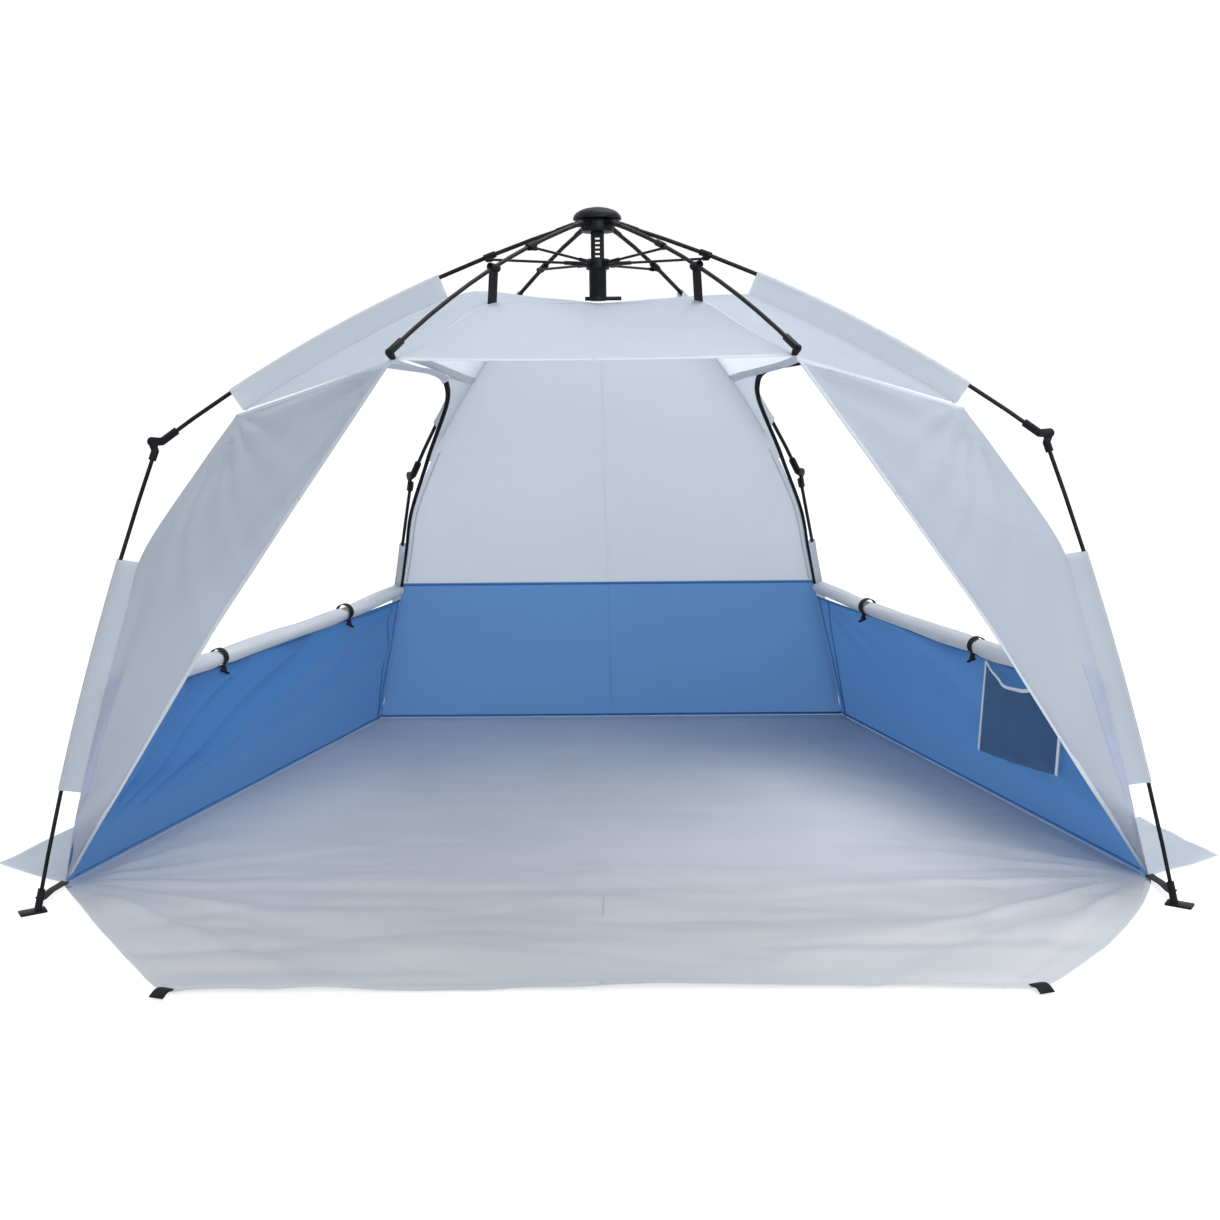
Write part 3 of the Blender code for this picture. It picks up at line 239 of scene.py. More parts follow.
def hard_material(name, colour, roughness, grain, bump, coat=0.0, worn=None):
    """Moulded plastic or coated metal: a fine grain, uneven gloss, and paler wear in patches."""
    mat = new_material(name)
    place = (add_node(mat, "TexCoord"), "Object")
    fine = add_node(mat, "TexNoise", Scale=grain, Detail=6.0, Roughness=0.6, Vector=place)
    broad = add_node(mat, "TexNoise", Scale=grain / 22, Detail=3.0, Vector=place)
    low, high = shades(colour, 0.25)
    tone = ramp(mat, broad, low, worn or high, 0.38, 0.85)
    gloss = add_node(mat, "MapRange", To_Min=roughness[0], To_Max=roughness[1], Value=(broad, "Fac"))
    dent = add_node(mat, "Bump", Strength=bump, Distance=0.0005, Height=(fine, "Fac"))
    skin = add_node(mat, "BsdfPrincipled", Coat_Weight=coat, Coat_Roughness=0.3, Specular_IOR_Level=0.14,
                    Base_Color=(tone, "Color"), Roughness=(gloss, "Result"), Normal=(dent, "Normal"))
    add_node(mat, "OutputMaterial", Surface=(skin, "BSDF"))
    return mat


def trim_material(name, colour, stitch, pitch=0.0035):
    """Folded cloth or webbing with two rows of stitches. Its map's X runs along it and Y across, 0 to 1."""
    mat = new_material(name)
    place = (add_node(mat, "UVMap", uv_map="cut"), "UV")
    parts = add_node(mat, "SeparateXYZ", Vector=place)
    run = add_node(mat, "Math", (parts, "X"), pitch, operation="PINGPONG")
    dash = add_node(mat, "Math", (run, "Value"), pitch * 0.32, operation="GREATER_THAN")
    across = add_node(mat, "Math", (parts, "Y"), 0.5, operation="PINGPONG")
    row = add_node(mat, "Math", (across, "Value"), 0.2, 0.05, operation="COMPARE")
    thread = add_node(mat, "Math", (dash, "Value"), (row, "Value"), operation="MULTIPLY")
    ribs = add_node(mat, "TexWave", wave_type="BANDS", bands_direction="DIAGONAL", Scale=260.0,
                    Distortion=0.4, Vector=place)
    tone = ramp(mat, ribs, *shades(colour, 0.08))
    paint = add_node(mat, "MixRGB", Fac=(thread, "Value"), Color1=(tone, "Color"), Color2=(*stitch, 1))
    height = add_node(mat, "Math", (ribs, "Fac"), 0.3, (thread, "Value"), operation="MULTIPLY_ADD")
    dent = add_node(mat, "Bump", Strength=0.4, Distance=0.0006, Height=(height, "Value"))
    rough = add_node(mat, "MapRange", To_Min=0.55, To_Max=0.72, Value=(ribs, "Fac"))
    skin = add_node(mat, "BsdfPrincipled", Specular_IOR_Level=0.15, Sheen_Weight=0.03,
                    Base_Color=(paint, "Color"), Roughness=(rough, "Result"), Normal=(dent, "Normal"))
    add_node(mat, "OutputMaterial", Surface=(skin, "BSDF"))
    return mat


# The colour of light that comes through pale cloth
PALE_GLOW = (0.92, 0.95, 0.99)
SILVER_MAT = cloth_material("silver_polyester", (0.67, 0.71, 0.76), 0.52, glow=PALE_GLOW)
COVER_MAT = cloth_material("window_cover_cloth", (0.76, 0.79, 0.84), bump=0.3, glow=(0.9, 0.93, 0.97))
# Painted light: the rib sleeves are the same silver polyester, painted lighter so that their upright faces
# look as bright as the roof
PAINTED_LIGHT_SLEEVE_MAT = cloth_material("silver_polyester_painted_light_sleeve", (0.75, 0.785, 0.83), 0.44, glow=PALE_GLOW)
# Painted light: the back band is the same blue polyester as the walls, painted paler and brighter for the
# light that comes through it from behind
PAINTED_LIGHT_BAND_MAT = cloth_material("blue_polyester_back", (0.11, 0.30, 0.58), 0.52, glow=(0.44, 0.64, 0.88))
# Painted shade: the roof and the awning are the same silver polyester, painted darker to hold down their
# upward faces under the key light
PAINTED_SHADE_ROOF_MAT = cloth_material("silver_polyester_roof", (0.60, 0.645, 0.71), 0.74, glow=(0.93, 0.955, 0.985))
# Painted shade: the wings are the same silver polyester, painted darker for the shade that falls on their
# faces
PAINTED_SHADE_WING_MAT = cloth_material("silver_polyester_wing", (0.555, 0.595, 0.655), 0.36, glow=(0.84, 0.89, 0.97))
# Painted light: the wall's blue seen through the wing's thin cloth, painted as a paler blue on a strip laid
# over the wing
PAINTED_SEE_THROUGH_MAT = cloth_material("painted_blue_seen_through_silver", (0.56, 0.61, 0.745), 0.36, glow=(0.80, 0.87, 0.98))
BLUE_MAT = cloth_material("blue_polyester", (0.075, 0.25, 0.55), 0.52, glow=(0.36, 0.58, 0.84))
FLOOR_MAT = cloth_material("grey_groundsheet", (0.63, 0.64, 0.665), 0.0, roughness=(0.42, 0.6), bump=0.16)
POCKET_MAT = cloth_material("dark_net", (0.05, 0.125, 0.25), 0.2, pitch=0.003, bump=0.2, clear=0.5)
HEM_MAT = trim_material("hem", (0.60, 0.645, 0.71), (0.68, 0.72, 0.78))
FLOOR_HEM_MAT = trim_material("groundsheet_hem", (0.60, 0.62, 0.66), (0.68, 0.70, 0.74))
BLUE_SEAM_MAT = trim_material("blue_seam", (0.060, 0.19, 0.43), (0.12, 0.31, 0.62))
BINDING_MAT = trim_material("pale_binding", (0.78, 0.81, 0.85), (0.92, 0.93, 0.95))
WEBBING_MAT = trim_material("black_webbing", (0.006, 0.006, 0.008), (0.014, 0.0145, 0.017))
PLASTIC_MAT = hard_material("moulded_plastic", (0.007, 0.008, 0.011), (0.34, 0.52), 900, 0.25)
POLE_MAT = hard_material("coated_pole", (0.006, 0.0065, 0.008), (0.24, 0.40), 500, 0.1, coat=0.03,
                         worn=(0.016, 0.017, 0.019))


# Lines and sheets

def smooth_modifier(limit):
    """A modifier's node group that shades smooth, with edges sharper than the limit kept crisp."""
    group = bpy.data.node_groups.new("shade_smooth", "GeometryNodeTree")
    group.interface.new_socket("Geometry", in_out="INPUT", socket_type="NodeSocketGeometry")
    group.interface.new_socket("Geometry", in_out="OUTPUT", socket_type="NodeSocketGeometry")
    nodes, links = group.nodes, group.links
    start, end = nodes.new("NodeGroupInput"), nodes.new("NodeGroupOutput")
    faces, edges = nodes.new("GeometryNodeSetShadeSmooth"), nodes.new("GeometryNodeSetShadeSmooth")
    edges.domain = "EDGE"
    angle, sharp = nodes.new("GeometryNodeInputMeshEdgeAngle"), nodes.new("FunctionNodeCompare")
    sharp.operation = "GREATER_THAN"
    sharp.inputs["B"].default_value = limit
    links.new(angle.outputs["Unsigned Angle"], sharp.inputs["A"])
    links.new(sharp.outputs["Result"], edges.inputs["Selection"])
    edges.inputs["Shade Smooth"].default_value = False
    links.new(start.outputs[0], faces.inputs["Geometry"])
    links.new(faces.outputs[0], edges.inputs["Geometry"])
    links.new(edges.outputs[0], end.inputs[0])
    return group


CRISP_EDGES = smooth_modifier(math.radians(62))


def mix(a, b, share):
    return a + (b - a) * share


def smooth_step(x):
    x = max(0.0, min(1.0, x))
    return x * x * (3 - 2 * x)


def calm(x, margin):
    """0 at both ends of 0 to 1, rising to 1 within the margin."""
    return smooth_step(min(x, 1 - x) / margin)


def mirrored(point, side):
    return Vector((point[0] * side, point[1], point[2]))


def line(points, by_length=False):
    """A smooth line through points, as a function of a share of their number or of its length."""
    points = [Vector(p) for p in points]
    reach = [0.0]
    for a, b in zip(points, points[1:]):
        reach.append(reach[-1] + ((b - a).length if by_length else 1.0))

    def at(share):
        goal = max(0.0, min(1.0, share)) * reach[-1]
        step = max(0, min(sum(1 for x in reach[1:] if x < goal), len(points) - 2))
        t = (goal - reach[step]) / (reach[step + 1] - reach[step])
        a, b = points[step], points[step + 1]
        before = points[step - 1] if step else 2 * a - b
        after = points[step + 2] if step + 2 < len(points) else 2 * b - a
        tan_a, tan_b = (b - before) / 2, (after - a) / 2
        if by_length:
            span = (b - a).length
            tan_a, tan_b = tan_a.normalized() * span, tan_b.normalized() * span
        return ((2 * t**3 - 3 * t**2 + 1) * a + (t**3 - 2 * t**2 + t) * tan_a
                + (3 * t**2 - 2 * t**3) * b + (t**3 - t**2) * tan_b)
    return at


def straight(a, b):
    a, b = Vector(a), Vector(b)
    return lambda share: mix(a, b, share)


def centreline(node):
    """The middle line of a pole's mesh, from the end nearer the hub."""
    found = [v.co.copy() for v in NODES[node].data.vertices]
    hub = Vector((0, 0, max(v.z for v in found) + 1))
    start = min(found, key=lambda p: (p - hub).length)
    end = max(found, key=lambda p: (p - start).length)
    way = (end - start).normalized()
    found.sort(key=lambda p: (p - start).dot(way))
    rings, last = [[found[0]]], found[0]
    for point in found[1:]:
        if (point - last).dot(way) > RIB_DROP / 3:
            rings.append([])
        rings[-1].append(point)
        last = point
    return [sum(ring, Vector()) / len(ring) for ring in rings]


def tangent(at, share, step=0.01):
    low, high = max(0.0, share - step), min(1.0, share + step)
    return (at(high) - at(low)).normalized()


def grid_points(surface, down, across, relief=None):
    """Rows of points on a surface of two shares, with their normals, moved along these by the relief."""
    rows = [[surface(i / down, j / across) for j in range(across + 1)] for i in range(down + 1)]
    normals = []
    for i in range(down + 1):
        normals.append([])
        for j in range(across + 1):
            along = rows[min(i + 1, down)][j] - rows[max(i - 1, 0)][j]
            over = rows[i][min(j + 1, across)] - rows[i][max(j - 1, 0)]
            normals[-1].append(along.cross(over).normalized())
    if relief:
        for i in range(down + 1):
            for j in range(across + 1):
                rows[i][j] = rows[i][j] + normals[i][j] * relief(i / down, j / across, rows[i][j])
    return rows, normals


def on(cloth, u, v):
    """(point, normal) on a cloth at two shares."""
    down, across = len(cloth[0]) - 1, len(cloth[0][0]) - 1
    i, j = min(int(u * down), down - 1), min(int(v * across), across - 1)
    a, b = u * down - i, v * across - j
    return [mix(mix(g[i][j], g[i][j + 1], b), mix(g[i + 1][j], g[i + 1][j + 1], b), a) for g in cloth]


def mesh_object(name, points, faces, uvs, mat):
    """A smooth mesh with a map in metres, called cut."""
    mesh = bpy.data.meshes.new(name)
    mesh.from_pydata([tuple(p) for p in points], [], faces)
    layer = mesh.uv_layers.new(name="cut")
    for loop in mesh.loops:
        layer.data[loop.index].uv = uvs[loop.vertex_index]
    mesh.polygons.foreach_set("use_smooth", [True] * len(mesh.polygons))
    mesh.materials.append(mat)
    obj = bpy.data.objects.new(name, mesh)
    bpy.context.scene.collection.objects.link(obj)
    return obj


def grid_faces(down, across, closed=False):
    wide = across if closed else across + 1
    return [(i * wide + j, i * wide + (j + 1) % wide, (i + 1) * wide + (j + 1) % wide, (i + 1) * wide + j)
            for i in range(down) for j in range(across)]


def cloth_object(name, cloth, mat, thickness=CLOTH):
    rows = cloth[0]
    down, across = len(rows) - 1, len(rows[0]) - 1
    middle = across // 2
    drop = [0.0]
    for a, b in zip(rows, rows[1:]):
        drop.append(drop[-1] + (b[middle] - a[middle]).length)
    uvs = []
    for i, row in enumerate(rows):
        reach = 0.0
        for j, point in enumerate(row):
            reach += (point - row[j - 1]).length if j else 0.0
            uvs.append((reach, drop[i]))
    obj = mesh_object(name, [p for row in rows for p in row], grid_faces(down, across), uvs, mat)
    thick = obj.modifiers.new("thickness", "SOLIDIFY")
    thick.thickness = thickness
    thick.offset = 0
    shade = obj.modifiers.new("shade", "NODES")
    shade.node_group = CRISP_EDGES
    return obj


def path_length(points):
    return sum((b - a).length for a, b in zip(points, points[1:]))


def cut_size(cloth):
    """(width, length, area) of the flat cut, in metres. The width is square to the length."""
    rows = cloth[0]
    columns = list(zip(*rows))
    long_one = max(columns, key=path_length)
    way = (long_one[-1] - long_one[0]).normalized()
    width, length = 0.0, path_length(long_one)
    for row in rows:
        chord = row[-1] - row[0]
        square = (chord - way * chord.dot(way)).length / max(chord.length, CLOTH)
        width = max(width, path_length(row) * square)
    area = 0.0
    for high, low in zip(rows, rows[1:]):
        for a, b, c, d in zip(high, high[1:], low[1:], low):
            area += ((b - a).cross(c - a).length + (c - a).cross(d - a).length) / 2
    return round(width, 3), round(length, 3), round(min(area, width * length), 4)


def sewn(piece, node, slot, stands_for=False):
    """The piece rides with a CAD node's body."""
    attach(piece, NODES[node]["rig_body"])
    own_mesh(piece)
    if stands_for:
        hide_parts(node)
    return piece


def flattens(start, end, width):
    """Reads a line and a width and leaves all cloth as it is."""
    way = (Vector(end) - Vector(start)).normalized()
    width = Vector(width)
    Vector(start)


def ribbon(name, points, normals, width, thickness, mat):
    """A flat strip with rounded edges along points, its face square to the normals."""
    outline = [(-0.5, 0), (-0.47, 0.42), (-0.36, 0.5), (0.36, 0.5), (0.47, 0.42),
               (0.5, 0), (0.47, -0.42), (0.36, -0.5), (-0.36, -0.5), (-0.47, -0.42)]
    made, uvs, reach, count = [], [], 0.0, len(points)
    for i, (point, normal) in enumerate(zip(points, normals)):
        way = points[min(i + 1, count - 1)] - points[max(i - 1, 0)]
        over = way.cross(normal).normalized()
        face = over.cross(way).normalized()
        reach += (point - points[i - 1]).length if i else 0.0
        for x, z in outline:
            made.append(point + over * (x * width) + face * (z * thickness))
            uvs.append((reach, x + 0.5))
    ring = len(outline)
    faces = [tuple(reversed(f)) for f in grid_faces(count - 1, ring, closed=True)]
    faces += [tuple(range(ring)), tuple(reversed(range((count - 1) * ring, count * ring)))]
    return mesh_object(name, made, faces, uvs, mat)


def along(cloth, places):
    """(points, normals) over places (u, v) on a cloth."""
    found = [on(cloth, u, v) for u, v in places]
    return [f[0] for f in found], [f[1] for f in found]


def ride_along(count, start, end):
    """Places evenly between two places on a cloth."""
    return [(mix(start[0], end[0], n / count), mix(start[1], end[1], n / count)) for n in range(count + 1)]


def pulls(point, corner, aside, count, reach, depth, seed=0.0):
    """Tension folds that fan out from a sewn corner and fade with distance."""
    away = point - corner
    far = away.length
    if far < CLOTH:
        return 0.0
    angle = math.acos(max(-1.0, min(1.0, away.dot(aside) / far)))
    wander = noise.noise(Vector((angle * 4, far * 2, seed)))
    fade = math.exp(-far / reach) * smooth_step(far / 0.12)
    return depth * math.sin(count * angle + 2.2 * wander + seed) * fade


def rumple(point, scale, stretch, seed):
    """Soft uneven waves, longer along some axes."""
    place = Vector(tuple(c * s * scale for c, s in zip(point, stretch)))
    return noise.noise(place + Vector((seed, seed / 2, -seed)))


# Where each side's cloth runs

def rib(name):
    return line(centreline(name + "_rib"), by_length=True)


def ridge(at, share):
    """The seam under a rib: square to the pole, away from the hub's top."""
    way = tangent(at, share)
    return at(share) - (HUB_AXIS - way * HUB_AXIS.dot(way)).normalized() * RIB_DROP


def ridge_points(at):
    return [ridge(at, mix(*SLEEVE_SHARES, n / 10)) for n in range(11)]


def opening_points(side):
    corner, middle, low = (mirrored(p, side) for p in (AWNING_CORNER, WING_MIDDLE, WING_LOW))
    floor = mirrored(FLOOR_SIDE, side)
    points = [mix(corner, middle, n / 4) for n in range(5)] + [mix(middle, low, n / 3) for n in range(1, 4)]
    return [*points, mix(floor, low, WING_TOE)]


def at_height(points, height):
    for high, low in zip(points, points[1:]):
        if high.z >= height >= low.z:
            return mix(high, low, (high.z - height) / (high.z - low.z))
    return points[-1]


def below(points, height):
    return [at_height(points, height), *[p for p in points if p.z < height]]


def above(points, height):
    return [*[p for p in points if p.z > height], at_height(points, height)]


RIBS = {name: rib(name) for name in ("right", "left", "back_right", "back_left", "front_right", "front_left")}
# The cloth as it was cut: seam to seam, before the folds that it hangs or is pulled into
CUTS = {}


def declare(piece, cloth, with_pieces=()):
    """Works out a sheet's size from its cut, or from the modelled piece where no cut is kept; the size is not
    stored.
    """
    width, length, area = cut_size(CUTS.get(piece.name, cloth))


def build_panel(name, place, surface, counts, mat, relief, stands_for=True):
    """(piece, cloth) of a surface of two shares, with its relief. Its place is (node, slot)."""
    cloth = grid_points(surface, *counts, relief)
    CUTS[name] = grid_points(surface, *counts)
    return sewn(cloth_object(name, cloth, mat), *place, stands_for), cloth


def seam_on(cloth, name, place, path, width, mat=HEM_MAT, thickness=HEM_THICK):
    """A ribbon sewn onto a cloth along a path: (steps, first place, last place)."""
    return sewn(ribbon(name, *along(cloth, ride_along(*path)), width, thickness, mat), *place)


# The roof's depths: waves, folds from the awning's corner, and sag between the ribs
ROOF_WAVE = 0.006
ROOF_FOLD = 0.006
ROOF_SAG = 0.014
ROOF_REAR_SAG = 0.012
AWNING_WAVE = 0.004


def build_roof(side, name):
    apex, anchor, corner = (mirrored(p, side) for p in (APEX, STRAP_ANCHOR, AWNING_CORNER))
    seam = line([apex, mix(apex, anchor, 0.5), anchor, mix(anchor, corner, 0.5), corner], by_length=True)
    top_points = ridge_points(RIBS[name])
    top = line([apex, *top_points], by_length=True)
    rear = line([apex, *ridge_points(RIBS["back_" + name])], by_length=True)
    place = (f"roof_{name}", "silver_cloth")
    flattens(top_points[0], top_points[-1], HUB_AXIS.cross(Vector((side, 0, 0))))
    flattens(ridge(RIBS["front_" + name], SLEEVE_SHARES[0]), corner, (1, 0, 0))

    def relief(u, v, p):
        edge = calm(v, 0.25) * smooth_step((1 - u) / 0.1) * smooth_step(u / 0.25)
        sag = -ROOF_SAG * math.sin(math.pi * v) * math.sin(math.pi * u)
        fold = pulls(p, corner, (anchor - corner).normalized(), 16, 0.35, ROOF_FOLD, 1.0 + side)
        return edge * (ROOF_WAVE * rumple(p, 5, (1, 2.4, 1), side * 3.7) + fold) + sag

    def rear_relief(u, v, p):
        edge = calm(v, 0.2) * smooth_step(u / 0.3)
        sag = ROOF_REAR_SAG * math.sin(math.pi * v) * u
        return edge * (ROOF_WAVE * rumple(p, 5, (2, 1, 1), side * 1.3) - sag)

    def behind(u, v):
        return mix(top(u * WINDOW_SHARE), rear(u * WINDOW_BACK_SHARE), v)

    piece, cloth = build_panel(f"roof_cloth_{name}", place, lambda u, v: mix(seam(u), top(u), v), (56, 34),
                               PAINTED_SHADE_ROOF_MAT, relief)
    rear_piece, rear_cloth = build_panel(f"roof_rear_cloth_{name}", place, behind, (40, 24), PAINTED_SHADE_ROOF_MAT,
                                         rear_relief, stands_for=False)
    strip = seam_on(cloth, f"roof_seam_{name}", place, (60, (0.04, 0.015), (1, 0.015)), BINDING,
                    thickness=SEAM_THICK)
    edge = seam_on(rear_cloth, f"window_top_hem_{name}", place, (40, (0.985, 0), (0.985, 1)), 1.6 * HEM)
    hem = line(top_points, by_length=True)
    points = [hem(n / 30) for n in range(14, 31)]
    points = [p + (rear(WINDOW_BACK_SHARE) - p).normalized() * HEM / 2 for p in points]
    side_hem = ribbon(f"window_front_hem_{name}", points, [HUB_AXIS] * len(points), HEM, HEM_THICK, HEM_MAT)
    sewn(side_hem, *place)
    declare(piece, cloth, [strip, side_hem])
    declare(rear_piece, rear_cloth, [edge])
    build_awning(name, seam, straight(apex, AWNING_MIDDLE))


def build_awning(name, seam, middle):
    def awning(u, v):
        outer = seam(u)
        point = mix(middle(u), outer, (1 - v) ** 2)
        point.x = mix(outer.x, 0, v)
        return point

    def relief(u, v, p):
        wave = rumple(Vector((abs(p.x), p.y, p.z)), 4, (1, 2, 1), 5.1)
        return smooth_step(v / 0.2) * calm(u, 0.12) * AWNING_WAVE * wave

    place = (f"awning_{name}", "silver_cloth")
    piece, cloth = build_panel(f"awning_cloth_{name}", place, awning, (48, 28), PAINTED_SHADE_ROOF_MAT, relief)
    edge = seam_on(cloth, f"awning_hem_{name}", place, (40, (0.988, 0), (0.988, 1)), HEM)
    declare(piece, cloth, [edge])


# The wings' depths: folds from the awning's corner, from the rib and from the foot, waves, and sag
WING_CORNER_FOLD = 0.011
WING_RIB_FOLD = 0.006
WING_TOE_FOLD = 0.006
WING_WAVE = 0.004
WING_SAG = 0.010


def set_side_folds(side, outer_points):
    """Works out which way the wing, the wall and the window cover on one side would flatten; nothing is
    moved.
    """
    inward = opening_points(side)[4] - outer_points[4]
    to_back = mirrored(FLOOR_BACK, side) - outer_points[-1]
    to_corner = mirrored(AWNING_CORNER, side) - outer_points[0]
    flattens(outer_points[0], outer_points[2], to_corner)
    flattens(outer_points[2], outer_points[6], inward)
    for node in ("side_wall_", "window_roll_"):
        flattens(outer_points[4], outer_points[7], to_back)


def build_wing(side, name, outer_points):
    outer, front = line(outer_points), line(opening_points(side))
    top, toe, corner = outer_points[0], outer_points[-1], mirrored(AWNING_CORNER, side)
    knee_way = (outer_points[2] - corner).normalized()

    def relief(u, v, p):
        edge = calm(v, 0.12) * smooth_step(u / 0.03) * smooth_step((1 - u) / 0.06)
        fan = pulls(p, corner, knee_way, 26, 0.45, WING_CORNER_FOLD, 2.0 + side)
        fan += pulls(p, top, (corner - top).normalized(), 20, 0.30, WING_RIB_FOLD, 4.0)
        fan += pulls(p, toe, UP, 24, 0.5, WING_TOE_FOLD, 3.0 - side)
        sag = WING_SAG * math.sin(math.pi * v) * math.sin(math.pi * min(1, u * 1.2))
        return edge * (fan + WING_WAVE * rumple(p, 4, (1.5, 1.5, 0.7), side * 2.9)) - side * sag

    for part, low, high, rows in (("upper", 0, WING_SPLIT, 26), ("lower", WING_SPLIT, 1, 72)):
        def surface(u, v, low=low, high=high):
            share = mix(low, high, u)
            return mix(outer(share), front(share), v)

        def lift(u, v, p, low=low, high=high):
            return relief(mix(low, high, u), v, p)

        place = (f"{part}_wing_{name}", "silver_cloth")
        piece, cloth = build_panel(f"{part}_wing_cloth_{name}", place, surface, (rows, 34), PAINTED_SHADE_WING_MAT, lift)
        path = (rows * 2, (0, 0.985), (1, 0.985))
        trims = [seam_on(cloth, f"{part}_wing_hem_{name}", place, path, BINDING)]
        if part == "upper":
            trims.append(seam_on(cloth, f"wing_seam_{name}", place, (50, (0.02, 0), (0.02, 1)), BINDING,
                                 thickness=SEAM_THICK))
        declare(piece, cloth, trims)
    build_painted_see_through(name, cloth)


# How far the painted see-through strip of blue lies off the wing
STRIP_LIFT = 0.0009


def build_painted_see_through(name, wing):
    """Where the wall's blue cloth lies behind the wing and its light shows through, painted light: a paler
    blue strip laid on the wing by its outer edge.
    """
    start = next(n / 200 for n in range(201) if on(wing, n / 200, 0.05)[0].z < STRIP_TOP)

    def strip(u, v):
        wide = STRIP_SHARE * (1 - 0.35 * u)
        point, normal = on(wing, mix(start, 0.985, u), 0.012 + wide * v)
        return point + normal * (STRIP_LIFT if normal.y < 0 else -STRIP_LIFT)

    cloth = grid_points(strip, 60, 6)
    piece = cloth_object(f"painted_see_through_strip_{name}", cloth, PAINTED_SEE_THROUGH_MAT, thickness=CLOTH / 2)
    sewn(piece, f"lower_wing_{name}", "blue_cloth")
    declare(piece, cloth)


# A sleeve's points across: each side, and round the pole. The depths of its slack and of its ends' flare.
SLEEVE_SIDE = 7
SLEEVE_TURN = 12
SLEEVE_SLACK = 0.0012
SLEEVE_FLARE = 0.0012
# The heights that the legs' sleeves start and end at, and how far their seams lie below the pole's point
LEG_SLEEVE = (0.745, 0.262)
LEG_SEAM_DROP = 0.006
BACK_LEG_SLEEVE = (0.60, 0.08)
BACK_LEG_SEAM_DROP = 0.004


def sleeve_row(middle, root, over, inward):
    """Across a sleeve: from its seam up one side, round the pole, and back to the seam."""
    row = [mix(root + over * CLOTH, middle + over * SLEEVE_RADIUS, k / SLEEVE_SIDE)
           for k in range(SLEEVE_SIDE)]
    for k in range(SLEEVE_TURN + 1):
        turn = math.pi * k / SLEEVE_TURN
        row.append(middle + (over * math.cos(turn) - inward * math.sin(turn)) * SLEEVE_RADIUS)
    row += [mix(middle - over * SLEEVE_RADIUS, root - over * CLOTH, k / SLEEVE_SIDE)
            for k in range(1, SLEEVE_SIDE + 1)]
    return row


def build_sleeve(name, node, pole, seam, stations, seed, mat=SILVER_MAT):
    """A pocket of cloth round a pole, which closes on the seam beside it."""
    rows = []
    for n in range(stations + 1):
        share = n / stations
        middle, root, way = pole(share), seam(share), tangent(pole, share)
        inward = root - middle
        inward = (inward - way * inward.dot(way)).normalized()
        over = way.cross(inward).normalized()
        row = sleeve_row(middle, root, over, inward)
        flare = SLEEVE_FLARE * smooth_step((0.06 - min(share, 1 - share)) / 0.06)
        for k, point in enumerate(row):
            slack = math.sin(math.pi * k / (len(row) - 1))
            wave = SLEEVE_SLACK * abs(noise.noise(Vector((share * 9, k * 0.16, seed))))
            out = over if k < len(row) / 2 else -over
            row[k] = point + out * (slack * wave + flare * slack)
        rows.append(row)
    piece = cloth_object(name, (rows, rows), mat)
    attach(piece, NODES[node]["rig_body"])
    declare(piece, (rows, rows))


def span(at, start, end):
    return lambda share: at(mix(start, end, share))


def leg_span(name, heights):
    """The part of a leg's pole that lies between two heights."""
    leg = line(centreline(f"{name}_leg_pole"), by_length=True)
    return span(leg, *(next(s / 200 for s in range(201) if leg(s / 200).z < z) for z in heights))


def nearest_on(at, point, count=200):
    return min((n / count for n in range(count + 1)), key=lambda s: (at(s) - point).length)


def build_sleeves(side, name, outer_points):
    for which, node in ((name, f"roof_{name}"), ("back_" + name, f"back_panel_{name}")):
        at = RIBS[which]
        build_sleeve(f"rib_sleeve_{which}", node, span(at, *SLEEVE_SHARES),
                     lambda s, at=at: ridge(at, mix(*SLEEVE_SHARES, s)), 60, side + len(which), PAINTED_LIGHT_SLEEVE_MAT)
    leg = leg_span(name, LEG_SLEEVE)
    build_sleeve(f"leg_sleeve_{name}", f"lower_wing_{name}", leg,
                 lambda s: at_height(outer_points, leg(s).z - LEG_SEAM_DROP), 60, 3 + side)
    edge = [mirrored(p, side) for p in BACK_EDGE]
    back = leg_span("back_" + name, BACK_LEG_SLEEVE)
    build_sleeve(f"back_leg_sleeve_{name}", f"back_band_{name}", back,
                 lambda s: at_height(edge, back(s).z - BACK_LEG_SEAM_DROP), 50, 5 + side)


# The back's depths: waves, folds from the knees, sag and bow toward the middle, and the band's waves
BACK_WAVE = 0.004
BACK_FOLD = 0.004
BACK_SAG = 0.012
BACK_BOW = 0.01
BAND_WAVE = 0.0035
BACK_SEAM_THICK = 0.0011


def build_back(side, name):
    ridge_line = ridge_points(RIBS["back_" + name])
    edge_points = [mirrored(p, side) for p in BACK_EDGE]
    edge = line([mirrored(APEX, side), *ridge_line, *above(edge_points, BLUE_TOP)], by_length=True)
    place = (f"back_panel_{name}", "silver_cloth")
    flattens(ridge_line[0], ridge_line[-1], (1, 0, 0))

    def hang(u, v):
        point = edge(u)
        middle = math.sin(math.pi * u) * (1 - (1 - v) ** 2)
        return Vector((point.x * (1 - v), point.y + BACK_BOW * middle, point.z - BACK_SAG * middle))

    def relief(u, v, p):
        wave = BACK_WAVE * rumple(Vector((abs(p.x), p.y, p.z)), 3.4, (1.3, 0.6, 2.2), 8.4)
        fold = pulls(p, edge(0.72), UP, 22, 0.22, BACK_FOLD, side + 1.0)
        return smooth_step(v / 0.1) * calm(u, 0.06) * (wave + fold * (1 - v))

    piece, cloth = build_panel(f"back_cloth_{name}", place, hang, (84, 36), SILVER_MAT, relief)
    seam = seam_on(cloth, f"back_seam_{name}", place, (50, (0.62, 0.03), (0.995, 0.02)), BINDING / 2,
                   thickness=BACK_SEAM_THICK)
    declare(piece, cloth, [seam])
    build_band(name, below(edge_points, BLUE_TOP))


